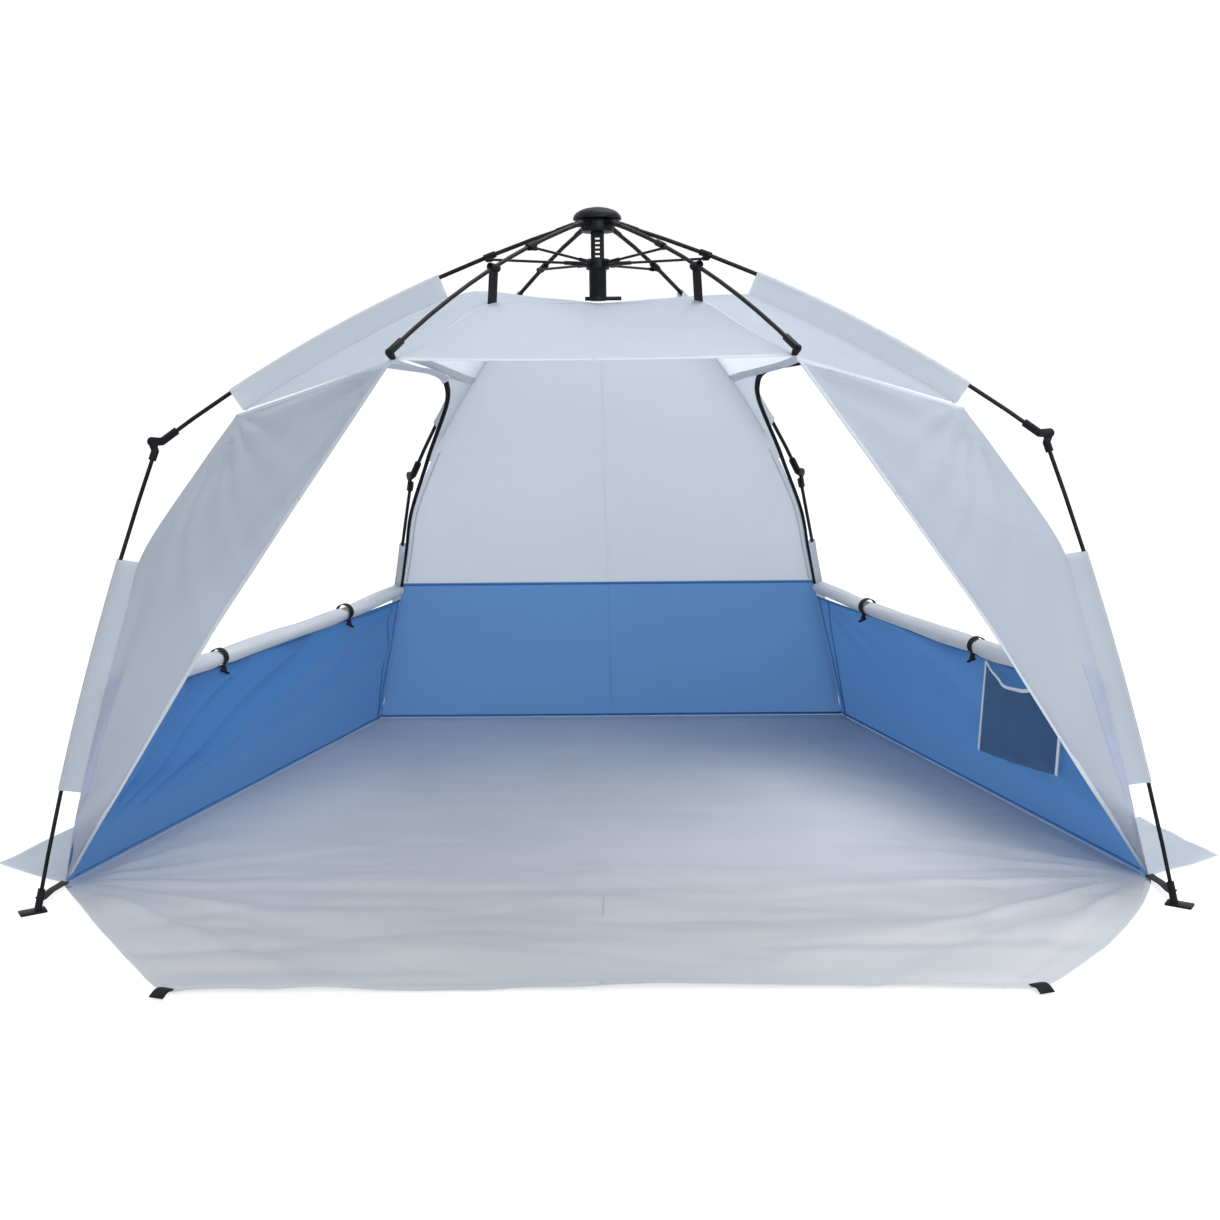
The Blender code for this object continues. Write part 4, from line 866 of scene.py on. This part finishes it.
def build_band(name, low_points):
    """Half of the blue band along the foot of the back."""
    low = line(low_points, by_length=True)
    place = (f"back_band_{name}", "blue_cloth")
    flattens(low_points[0], low_points[-1], (1, 0, 0))

    def band(u, v):
        point = low(u)
        return Vector((point.x * (1 - v), point.y, point.z))

    def relief(u, v, p):
        wave = rumple(Vector((abs(p.x), p.y, p.z)), 4, (2.4, 1, 1), 6.6)
        return calm(u, 0.1) * smooth_step(v / 0.08) * BAND_WAVE * wave

    piece, cloth = build_panel(f"band_cloth_{name}", place, band, (30, 40), PAINTED_LIGHT_BAND_MAT, relief)
    trims = [seam_on(cloth, f"band_{label}seam_{name}", place, (50, (u, 0), (u, 1)), width, BLUE_SEAM_MAT)
             for label, u, width in (("", 0.012, 0.9 * BINDING), ("floor_", 0.985, BINDING))]
    declare(piece, cloth, trims)


# Folds that fan out from a wall's front foot: share of the turn from floor to front edge, width, depth
WALL_FOLDS = {"left": [(0.155, 0.020, 0.0145), (0.195, 0.012, -0.0174), (0.235, 0.020, 0.0203),
                       (0.285, 0.014, -0.0145), (0.345, 0.024, 0.01885), (0.400, 0.018, -0.01305),
                       (0.470, 0.035, 0.0145), (0.62, 0.06, 0.0087)],
              "right": [(0.105, 0.016, -0.0066), (0.150, 0.022, 0.0077), (0.300, 0.050, -0.0055),
                        (0.42, 0.06, 0.0077)]}
WALL_REAR_FOLD = 0.005
WALL_WAVE = 0.004


def wall_out(side):
    depth, run = FLOOR_BACK[1] - FLOOR_SIDE[1], FLOOR_SIDE[0] - FLOOR_BACK[0]
    return Vector((side * depth, run, 0)).normalized()


def build_wall(side, name, outer_points):
    front_points = below(outer_points, SILL)
    rear_points = below([mirrored(p, side) for p in BACK_EDGE], SILL)
    ahead, rear = line(front_points), line(rear_points, by_length=True)
    out = wall_out(side)

    def wall(u, v):
        return mix(ahead(u), rear(u), mix(0.0015, 0.9985, v))

    def relief(u, v, p):
        turn = math.atan2(v, 1 - u) / (math.pi / 2)
        far = math.hypot(v, 1 - u)
        fan = sum(depth * math.exp(-((turn - at) / width) ** 2) for at, width, depth in WALL_FOLDS[name])
        fan *= smooth_step((far - 0.10) / 0.45) * (0.55 + 0.9 * far)
        rear_fan = pulls(p, rear_points[0], -UP, 16, 0.25, WALL_REAR_FOLD, 0.7)
        wave = WALL_WAVE * rumple(p, 5, (1, 1, 0.6), side * 1.7)
        return calm(u, 0.06) * calm(v, 0.05) * (fan + rear_fan + wave)

    place = (f"side_wall_{name}", "blue_cloth")
    piece, cloth = build_panel(f"wall_cloth_{name}", place, wall, (56, 130), BLUE_MAT, relief)
    seams = (("sill", 70, (0.012, 0.0), (0.012, 1.0), 0.8), ("floor", 70, (0.98, 0.02), (0.98, 1.0), 0.8),
             ("corner", 24, (0.0, 0.992), (1.0, 0.985), 0.6), ("gusset", 24, (0.0, 0.955), (1.0, 0.985), 0.6))
    trims = [seam_on(cloth, f"wall_{label}_seam_{name}", place, path, wide * BINDING, BLUE_SEAM_MAT)
             for label, *path, wide in seams]
    declare(piece, cloth, trims)
    build_roll(side, name, front_points[0], rear_points[0], out)
    if side > 0:
        build_pocket(name, cloth, out)


# The rolled-up window cover. Its layers start at a share of its radius and grow to the outside.
ROLL_RADIUS = 0.0205
ROLL_FATNESS = (1.22, 0.95)
ROLL_CORE = 0.22
ROLL_GROWTH = 0.76
ROLL_FLATNESS = 0.92
ROLL_TURNS = 7.5
ROLL_END_TURN = 2.25
ROLL_RISE = 0.010
ROLL_GAP = 0.0008
ROLL_INSET = 0.003
# Unevenness, as shares of the radius: dents, a slanting groove, the squeeze at each toggle, and the loose lip
ROLL_DENT = 0.16
ROLL_GROOVE = 0.10
ROLL_SQUEEZE = 0.20
ROLL_LIP = 0.42
ROLL_LIP_SHARE = 0.042
TOGGLES = {"left": (0.34, 0.79), "right": (0.39, 0.80)}
# A toggle's elastic loop, from its first to its last angle, and the bar at its end
LOOP_ANGLES = (-95, 150)
LOOP_CLEARANCE = 0.0014
LOOP_WIDTH = 0.018
LOOP_TAIL = Vector((0, 0, -0.016))
LOOP_TAIL_OUT = 0.004
BAR_RADIUS = 0.0034
BAR_HALF = 0.015


def roll_line(start, end, out):
    """The rolled-up window cover's middle: along the sill, then up to the window's rear corner."""
    lift = UP * (ROLL_RADIUS + ROLL_GAP) - out * ROLL_INSET
    trim = (end - start).normalized() * 2.2 * ROLL_RADIUS
    a, b = start + lift + trim * 0.3, end + lift - trim * 0.6
    points = [mix(a, b, n / 12) + UP * ROLL_RISE * smooth_step((n / 12 - 0.8) / 0.2) for n in range(13)]
    return line(points, by_length=True)


def near_toggle(name, share, width):
    return sum(math.exp(-((share - at) / width) ** 2) for at in TOGGLES[name])


def build_roll(side, name, start, end, out):
    """A window cover rolled up along the sill: a spiral of thin cloth, looser toward its front end."""
    at = roll_line(start, end, out)
    rows, stations, around = [], 64, 24
    total = int(ROLL_TURNS * around)
    for n in range(stations + 1):
        share = n / stations
        way = tangent(at, share)
        up = (UP - way * way.z).normalized()
        over = way.cross(up) * side
        fat = mix(*ROLL_FATNESS, smooth_step(share)) + 0.08 * noise.noise(Vector((share * 6, side, 0.3)))
        middle = at(share) + up * ROLL_RADIUS * (0.88 * fat - 1)
        squeeze = 1 - ROLL_SQUEEZE * near_toggle(name, share, 0.018)
        loose = max(0.0, 1 - near_toggle(name, share, 0.07))
        row = []
        for k in range(total + 1):
            turn, grow = math.tau * k / around, k / total
            twist = turn - 2.4 * share
            place = Vector((share * 9, math.cos(twist) * 0.8, math.sin(twist) * 0.8 + 4 * side))
            groove = 1 - ROLL_GROOVE * math.exp(-(math.cos(twist / 2 + 5 * share) / 0.22) ** 2)
            lip = 1 + ROLL_LIP * smooth_step((grow - 1 + ROLL_LIP_SHARE) / ROLL_LIP_SHARE) * loose
            size = ROLL_RADIUS * fat * (ROLL_CORE + ROLL_GROWTH * grow) * (1 + ROLL_DENT * noise.noise(place))
            size *= squeeze * mix(1, groove, grow) * lip
            angle = turn + ROLL_END_TURN
            row.append(middle + (up * math.cos(angle) * ROLL_FLATNESS + over * math.sin(angle)) * size)
        rows.append(row)
    CUTS[f"window_cover_{name}"] = window_surface(side, name)
    piece = cloth_object(f"window_cover_{name}", (rows, rows), COVER_MAT, thickness=CLOTH / 2)
    sewn(piece, f"window_roll_{name}", "silver_cloth", stands_for=True)
    trims = [build_toggle(name, number, at, share, -out) for number, share in enumerate(TOGGLES[name])]
    declare(piece, (rows, rows), [t for pair in trims for t in pair])


def build_toggle(name, number, at, share, inside):
    """An elastic loop round the roll, with a toggle bar that hangs inside the tent."""
    middle, way = at(share), tangent(at, share)
    points, normals = [], []
    for n in range(22):
        angle = math.radians(mix(*LOOP_ANGLES, n / 21))
        face = UP * math.cos(angle) + inside * math.sin(angle)
        points.append(middle + face * (ROLL_RADIUS * (1.0 - 0.08 * abs(math.cos(angle))) + LOOP_CLEARANCE))
        normals.append(face)
    low = points[-1] + LOOP_TAIL + inside * LOOP_TAIL_OUT
    points += [mix(points[21], low, n / 5) for n in range(1, 6)]
    normals += [inside] * 5
    loop = ribbon(f"toggle_loop_{name}_{number}", points, normals, LOOP_WIDTH, LOOP_THICK, WEBBING_MAT)
    lean = (way * 0.9 - UP * 0.5 + inside * 0.2).normalized()
    bar_points = [low + lean * mix(-BAR_HALF, BAR_HALF, n / 16) for n in range(17)]
    waist = [1 - 0.25 * math.exp(-((n - 8) / 1.6) ** 2) for n in range(17)]
    radii = [BAR_RADIUS * math.sqrt(max(0.05, 1 - (n / 8 - 1) ** 6)) * waist[n] for n in range(17)]
    bar = round_bar(f"toggle_bar_{name}_{number}", bar_points, radii, PLASTIC_MAT)
    return [sewn(piece, f"window_roll_{name}", "black_plastic") for piece in (loop, bar)]


def end_faces(sides, steps):
    """The two ends that close a tube of rings."""
    return [tuple(reversed(range(sides))), tuple(range(steps * sides, (steps + 1) * sides))]


def round_bar(name, points, radii, mat, sides=14):
    """A turned bar along points, closed at its ends."""
    made, uvs = [], []
    count = len(points)
    for i, (point, radius) in enumerate(zip(points, radii)):
        way = (points[min(i + 1, count - 1)] - points[max(i - 1, 0)]).normalized()
        aside = way.orthogonal().normalized()
        other = way.cross(aside)
        for k in range(sides):
            turn = math.tau * k / sides
            made.append(point + (aside * math.cos(turn) + other * math.sin(turn)) * radius)
            uvs.append((i / count, k / sides))
    faces = grid_faces(count - 1, sides, closed=True) + end_faces(sides, count - 1)
    return mesh_object(name, made, faces, uvs, mat)


# The net pocket's corners on the right wall, as shares of the wall's drop and of its run to the rear
POCKET_TOP_REAR_SHARES = (0.02, 0.350)
POCKET_FOOT_REAR_SHARES = (0.705, 0.440)
POCKET_FOOT_FRONT_SHARES = (0.614, 0.190)
POCKET_TOP_FRONT_SHARES = (0.136, 0.119)
# How far the net lies off the wall, and the depths of its belly, its pleats and its mouth's dip
POCKET_STAND = 0.010
POCKET_BELLY = 0.022
POCKET_PLEAT = 0.004
POCKET_DIP = 0.026


def build_pocket(name, wall, out):
    """The net pocket inside the right wall, with a pale binding round it. Its mouth sags open."""
    rear = straight(on(wall, *POCKET_TOP_REAR_SHARES)[0], on(wall, *POCKET_FOOT_REAR_SHARES)[0])
    front = straight(on(wall, *POCKET_TOP_FRONT_SHARES)[0], on(wall, *POCKET_FOOT_FRONT_SHARES)[0])

    def net(u, v):
        belly = math.sin(math.pi * v) * (1 - 0.6 * u)
        dip = math.sin(math.pi * min(1, 1.3 * v)) * (1 - u) ** 2
        pleat = math.sin(7 * math.pi * v + 3 * u) * math.sin(math.pi * v) * (1 - 0.5 * u)
        stand = POCKET_STAND + POCKET_BELLY * belly + POCKET_PLEAT * pleat
        return mix(rear(u), front(u), v) - out * stand - UP * POCKET_DIP * dip

    cloth = grid_points(net, 30, 36)
    node = f"side_wall_{name}"
    piece = sewn(cloth_object(f"pocket_net_{name}", cloth, POCKET_MAT), node, "blue_cloth")
    edges = (("top", (0, 0), (0, 1)), ("rear", (0, 0), (1, 0)), ("front", (0, 1), (1, 1)))
    trims = [seam_on(cloth, f"pocket_{label}_binding_{name}", (node, "silver_cloth"), (32, *ends), BINDING,
                     BINDING_MAT, BINDING_THICK) for label, *ends in edges]
    declare(piece, cloth, trims)


# The zip round a window, from its front top corner to its rear foot: shares of the window's height and width
ZIP_SHARES = [(0.03, 0.30), (0.015, 0.48), (0.004, 0.64), (0.012, 0.76), (0.046, 0.845), (0.085, 0.895),
              (0.14, 0.93), (0.245, 0.962), (0.385, 0.985), (0.56, 0.995), (0.82, 0.998), (0.965, 0.998)]
WINDOW_HEART_SHARES = (0.22, 0.72)
# The zip's and the facing's parts: from and to a share of the zip, and the node whose cloth they are sewn to
ZIP_PARTS = [("top", 0.0, 0.31, "roof_"), ("side", 0.31, 1.0, "back_panel_")]
FACINGS = [("top", 0.0, 0.31, "roof_"), ("corner", 0.31, 0.52, "back_panel_"),
           ("side", 0.52, 0.70, "back_panel_")]
TIE_BOW = 0.004


def window_surface(side, name):
    """The window's opening, as if cloth were stretched over it, by shares of its height and of its width."""
    edges = []
    for which, share, points in (("", WINDOW_SHARE, BODY_EDGE[1:]), ("back_", WINDOW_BACK_SHARE, BACK_EDGE)):
        ridge_line = line([mirrored(APEX, side), *ridge_points(RIBS[which + name])], by_length=True)
        edge = [ridge_line(mix(share, 1, n / 4)) for n in range(5)]
        edges.append(line(edge + above([mirrored(p, side) for p in points], SILL), by_length=True))
    return grid_points(lambda u, v: mix(edges[0](u), edges[1](u), v), 80, 60)


def window_edge(place):
    """The point of the window's top or rear edge that lies outward of a place, away from its middle."""
    u, v = place
    high, wide = WINDOW_HEART_SHARES
    if u >= high:
        return (u, 1.0)
    if v <= wide:
        return (0.0, v)
    reach = min(high / (high - u), (1 - wide) / (v - wide))
    return (high + (u - high) * reach, wide + (v - wide) * reach)


def build_zip(side, name):
    """The window cover's zip and the narrow facing that it is sewn to, round the window's rear top corner.

    At the left window's top a strip of hem cloth covers the zip."""
    window = window_surface(side, name)
    track = line([(u, v, 0) for u, v in ZIP_SHARES])
    for label, start, end, node in ZIP_PARTS:
        points, normals = along(window, [track(mix(start, end, n / 110)).xy for n in range(111)])
        covered = label == "top" and side < 0
        width, mat = (1.3 * ZIP_TAPE, HEM_MAT) if covered else (ZIP_TAPE, WEBBING_MAT)
        tape = ribbon(f"zip_{label}_tape_{name}", points, normals, width, BINDING_THICK, mat)
        sewn(tape, node + name, "silver_cloth" if covered else "black_plastic")
        if not covered:
            sewn(build_teeth(f"zip_{label}_teeth_{name}", points, normals), node + name, "black_plastic")
    for label, start, end, node in FACINGS:
        places = [track(mix(start, end, n / 60)).xy for n in range(61)]
        build_facing(f"window_facing_{label}_{name}", window, places, node + name)
    foot, normal = on(window, *ZIP_SHARES[-1])
    pole = line(centreline(f"back_{name}_leg_pole"), by_length=True)
    tie_at = pole(nearest_on(pole, foot))
    points = [mix(foot, tie_at, n / 8) + normal * (TIE_BOW * math.sin(math.pi * n / 8)) for n in range(9)]
    tie = ribbon(f"zip_foot_tie_{name}", points, [normal] * 9, WEBBING, WEBBING_THICK, WEBBING_MAT)
    sewn(tie, "back_panel_" + name, "black_plastic")


def build_facing(label, window, places, node):
    rows = [[], []]
    for place in places:
        outer = window_edge(place)
        row = [on(window, mix(outer[0], place[0], n / 6), mix(outer[1], place[1], n / 6)) for n in range(7)]
        rows[0].append([r[0] for r in row])
        rows[1].append([r[1] for r in row])
    piece = sewn(cloth_object(label, rows, SILVER_MAT), node, "silver_cloth")
    declare(piece, rows)


def build_teeth(name, points, normals):
    """The zip's coil, as a ridge that rises and falls at each tooth."""
    at, face = line(points, by_length=True), line(normals)
    length = path_length(points)
    steps = int(length / TOOTH) * 2
    made, uvs = [], []
    for n in range(steps + 1):
        share = n / steps
        way, normal = tangent(at, share, 0.004), face(share).normalized()
        over = way.cross(normal).normalized()
        rise, wide = TOOTH_RISES[n % 2], ZIP_TEETH * (0.42, 0.5)[n % 2]
        for x, z in ((-1, 0), (-0.5, 1), (0.5, 1), (1, 0), (0.5, -1), (-0.5, -1)):
            made.append(at(share) + over * (x * wide) + normal * (z * rise))
            uvs.append((share * length, 0.5))
    return mesh_object(name, made, grid_faces(steps, 6, closed=True) + end_faces(6, steps), uvs, PLASTIC_MAT)


# The groundsheet's depths: long, short and slanting waves, the porch edge's curl, and the corner's folds
FLOOR_LONG_WAVE = 0.010
FLOOR_SHORT_WAVE = 0.005
FLOOR_SLANT_WAVE = 0.004
FLOOR_CURL = 0.006
FLOOR_FOLD = 0.016
FLOOR_GRID = (150, 90)


def floor_half(y, side):
    """The groundsheet's half width at a depth. The porch is rounder on the right, as in the photograph."""
    corner, back, porch = Vector(FLOOR_SIDE), Vector(FLOOR_BACK), Vector(PORCH)
    if y >= corner.y:
        return mix(corner.x, back.x, (y - corner.y) / (back.y - corner.y)) + FLOOR_TUCK
    share = (corner.y - y) / (corner.y - porch.y)
    bulge = PORCH_BULGES[side] * math.sin(math.pi * share) ** 0.8
    return mix(corner.x + FLOOR_TUCK, porch.x, share) + bulge


def laid_cloth(name, surface, counts, height):
    """A cloth on the ground, with its cut. The height is a function of its shares and the point."""
    CUTS[name] = grid_points(surface, *counts)
    rows, normals = grid_points(surface, *counts)
    for i, row in enumerate(rows):
        for j, point in enumerate(row):
            point.z = height(i / counts[0], j / counts[1], point)
            normals[i][j] = UP
    return rows, normals


def build_floor(side, name):
    corner, back, porch = mirrored(FLOOR_SIDE, side), Vector(FLOOR_BACK), Vector(PORCH)

    def sheet(u, v):
        y = mix(back.y + FLOOR_TUCK, porch.y, u)
        return Vector((side * floor_half(min(y, back.y), side) * v, y, CLOTH))

    def height(u, v, p):
        wide = Vector((p.x, p.y, 0))
        walls = smooth_step((1 - v) / 0.06)
        if p.y <= corner.y - 0.05:
            walls = 0.35 + 0.65 * walls
        long_wave = abs(rumple(wide, 1, (1.1, 7.0, 1), 2.3)) ** 0.8
        short = abs(rumple(wide, 1, (3.0, 15.0, 1), 7.7))
        slant = abs(rumple(Vector((p.x + 0.6 * p.y, p.y, 0)), 1, (5.0, 4.0, 1), 4.1))
        front = smooth_step((u - 0.45) / 0.4)
        rise = FLOOR_LONG_WAVE * long_wave * (0.35 + front) + FLOOR_SHORT_WAVE * short * (0.3 + front)
        rise = walls * smooth_step(u / 0.03) * (rise + FLOOR_SLANT_WAVE * slant)
        curl = smooth_step((u - 0.97) / 0.03) * (0.5 + 0.5 * noise.noise(Vector((p.x * 6, 0, 3))))
        fan = pulls(p, Vector((corner.x, corner.y, p.z)), Vector((0, -1, 0)), 17, 0.7, FLOOR_FOLD, 1.0 + side)
        fan = max(0.0, fan) * smooth_step((1 - v) / 0.10)
        return p.z + rise + FLOOR_CURL * curl + fan * front

    cloth = laid_cloth(f"groundsheet_{name}", sheet, FLOOR_GRID, height)
    place = (f"floor_{name}", "floor_cloth")
    piece = cloth_object(f"groundsheet_{name}", cloth, FLOOR_MAT, thickness=GROUNDSHEET)
    sewn(piece, *place, stands_for=True)
    hems = (("front", 60, (0.993, 0), (0.993, 1)), ("side", 50, (0.70, 0.994), (1.0, 0.994)))
    trims = [seam_on(cloth, f"groundsheet_{label}_hem_{name}", place, path, HEM, FLOOR_HEM_MAT,
                     FLOOR_HEM_THICK) for label, *path in hems]
    declare(piece, cloth, trims)
    build_flap(side, name)
    build_tabs(side, name)


# The sand flap's size, how much shorter its outer edge is at each end, and its waves' and curl's depths
FLAP_WIDTH = 0.212
FLAP_LENGTH = 0.355
FLAP_TAPER = 0.035
FLAP_GAP = 0.001
FLAP_HEIGHT = 0.0012
FLAP_WAVE = 0.007
FLAP_CURL = 0.006


def build_flap(side, name):
    """The side flap that is weighed down with sand, a little rippled."""
    corner, back = mirrored(FLOOR_SIDE, side), mirrored(FLOOR_BACK, side)
    edge, out = (back - corner).normalized(), wall_out(side)

    def flap(u, v):
        inset = FLAP_TAPER * v
        return corner + out * (FLAP_GAP + FLAP_WIDTH * v) + edge * mix(inset, FLAP_LENGTH - inset, u)

    def height(u, v, p):
        wave = FLAP_WAVE * abs(rumple(p, 7, (1, 1, 1), 1.9 + side)) + FLAP_CURL * v * v
        return FLAP_HEIGHT + wave * smooth_step(v / 0.1)

    cloth = laid_cloth(f"flap_cloth_{name}", flap, (30, 22), height)
    node = f"sand_flap_{name}"
    piece = sewn(cloth_object(f"flap_cloth_{name}", cloth, SILVER_MAT), node, "floor_cloth", stands_for=True)
    trim = seam_on(cloth, f"flap_hem_{name}", (node, "silver_cloth"), (30, (0, 0.985), (1, 0.985)), BINDING)
    declare(piece, cloth, [trim])


# The porch's tab, and the strap's end on the right foot
TAB_LENGTH = 0.045
TAB_WIDTH = 0.032
TAB_START = 0.02
TAB_BOW = 0.006
STRAP_LIFT = 0.004
FOOT_STRAP_END = (1.2122, -0.5648, 0.02)
FOOT_STRAP_HOOK = Vector((0, 0.012, 0.004))


def build_tabs(side, name):
    """The black webbing tab at the porch's corner, and the strap from the side corner to the foot."""
    away = Vector((side * 0.35, -1, 0)).normalized()
    points = [mirrored(PORCH, side) + away * (TAB_LENGTH * n / 12 - TAB_START)
              + UP * (STRAP_LIFT + TAB_BOW * math.sin(math.pi * n / 12)) for n in range(13)]
    tab = ribbon(f"porch_tab_{name}", points, [UP] * 13, TAB_WIDTH, WEBBING_THICK, WEBBING_MAT)
    sewn(tab, f"floor_{name}", "black_plastic")
    foot = mirrored(FOOT_STRAP_END, side)
    corner = mirrored(FLOOR_SIDE, side) + UP * STRAP_LIFT
    middle = mix(corner, foot, 0.5) + UP * STRAP_LIFT
    at = line([corner, mix(corner, middle, 0.5), middle, mix(middle, foot, 0.5), foot + FOOT_STRAP_HOOK])
    points, face = [at(n / 24) for n in range(25)], Vector((0, -1, 0.5)).normalized()
    strap = ribbon(f"foot_strap_{name}", points, [face] * 25, FOOT_STRAP, STRAP_THICK, WEBBING_MAT)
    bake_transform(strap)


# The roof strap's place on the front rib, over its anchor, and how far it runs on past the anchor
ROOF_STRAP_OVER = 0.06
ROOF_STRAP_BACK_SHARE = 0.03
ROOF_STRAP_TAIL = 0.012


def build_strap(side, name):
    """The webbing that holds the roof up to a front rib."""
    at, low = RIBS["front_" + name], mirrored(STRAP_ANCHOR, side)
    share = nearest_on(at, low + UP * ROOF_STRAP_OVER) - ROOF_STRAP_BACK_SHARE
    top = at(share)
    rise = (top - low).normalized()
    face = tangent(at, share).cross(top - low).normalized()
    points = [mix(low - rise * ROOF_STRAP_TAIL, top, n / 14) for n in range(15)]
    strap = ribbon(f"roof_strap_{name}", points, [face] * 15, ROOF_STRAP, STRAP_THICK, WEBBING_MAT)
    turns = [math.tau * n / 24 for n in range(25)]
    aims = [rise * -math.cos(turn) + face * math.sin(turn) for turn in turns]
    around = [top + aim * POLE_LOOP_RADIUS for aim in aims]
    loop = ribbon(f"strap_loop_{name}", around, aims, ROOF_STRAP, LOOP_THICK, WEBBING_MAT)
    for piece in (strap, loop):
        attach(piece, NODES[f"awning_{name}"]["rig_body"])


# The frame's own surfaces
EDGE_ROUNDING = 0.0006
WELD_REACH = 0.00002


def dress_frame():
    crisp, round_pole = smooth_modifier(math.radians(33)), smooth_modifier(math.radians(60))
    for obj in NODES.values():
        slot = obj.data.materials[0].name.split(".")[0]
        if slot in ("silver_cloth", "blue_cloth", "floor_cloth"):
            continue
        pole = slot == "coated_pole"
        obj.data.materials[0] = POLE_MAT if pole else PLASTIC_MAT
        weld = obj.modifiers.new("weld", "WELD")
        weld.merge_threshold = WELD_REACH
        if not pole:
            edge = obj.modifiers.new("edge", "BEVEL")
            edge.width = EDGE_ROUNDING
            edge.segments = 2
            edge.limit_method = "ANGLE"
            edge.angle_limit = math.radians(40)
        shade = obj.modifiers.new("shade", "NODES")
        shade.node_group = round_pole if pole else crisp


# Stage and light

def stage_floor():
    mesh = bpy.data.meshes.new("stage_floor")
    corners = [(x * STAGE_REACH, y * STAGE_REACH, 0) for x, y in ((-1, -1), (1, -1), (1, 1), (-1, 1))]
    mesh.from_pydata(corners, [], [(0, 1, 2, 3)])
    obj = bpy.data.objects.new("stage_floor", mesh)
    bpy.context.scene.collection.objects.link(obj)
    obj.location.z = -STAGE_DROP
    mat = new_material("stage_floor")
    path = add_node(mat, "LightPath")
    plain = add_node(mat, "BsdfDiffuse", Color=(0.86, 0.87, 0.88, 1))
    seen = add_node(mat, "BsdfDiffuse", Color=(0.62, 0.62, 0.62, 1))
    lift = add_node(mat, "Emission", Color=(1, 1, 1, 1), Strength=0.66)
    both = add_node(mat, "AddShader", (seen, "BSDF"), (lift, "Emission"))
    pick = add_node(mat, "MixShader", (path, "Is Camera Ray"), (plain, "BSDF"), (both, "Shader"))
    add_node(mat, "OutputMaterial", Surface=(pick, "Shader"))
    mesh.materials.append(mat)


def lamp(name, place, aim, size, power):
    data = bpy.data.lights.new(name, "AREA")
    data.size = size
    data.energy = power
    obj = bpy.data.objects.new(name, data)
    bpy.context.scene.collection.objects.link(obj)
    obj.location = place
    obj.rotation_euler = (Vector(aim) - Vector(place)).to_track_quat("-Z", "Y").to_euler()


def light_world():
    """A white backdrop for what the camera sees or a glossy surface mirrors, and soft light for the rest."""
    world = bpy.data.worlds.new("studio")
    world.use_nodes = True
    world.node_tree.nodes.clear()
    path = add_node(world, "LightPath")
    seen = (path, "Is Camera Ray")
    for socket in ("Is Glossy Ray", "Is Transmission Ray"):
        seen = (add_node(world, "Math", seen, (path, socket), operation="MAXIMUM"), "Value")
    soft = add_node(world, "Background", Color=(0.95, 0.97, 1, 1), Strength=0.62)
    white = add_node(world, "Background", Color=(1, 1, 1, 1))
    pick = add_node(world, "MixShader", seen, (soft, "Background"), (white, "Background"))
    add_node(world, "OutputWorld", Surface=(pick, "Shader"))
    bpy.context.scene.world = world
    bpy.context.scene.view_settings.view_transform = "Standard"
    lamp("key", (0.9, 0.5, 4.3), (0, 0.2, 0.4), 3.0, 84)
    lamp("fill", (3.2, -8.3, 4.9), (0, 0.7, 0.1), 3.4, 365)


stage_floor()
light_world()
dress_frame()
for name, side in SIDES.items():
    outer_points = [mirrored(p, side) for p in BODY_EDGE]
    set_side_folds(side, outer_points)
    build_roof(side, name)
    build_wing(side, name, outer_points)
    build_back(side, name)
    build_sleeves(side, name, outer_points)
    build_wall(side, name, outer_points)
    build_zip(side, name)
    build_floor(side, name)
    build_strap(side, name)
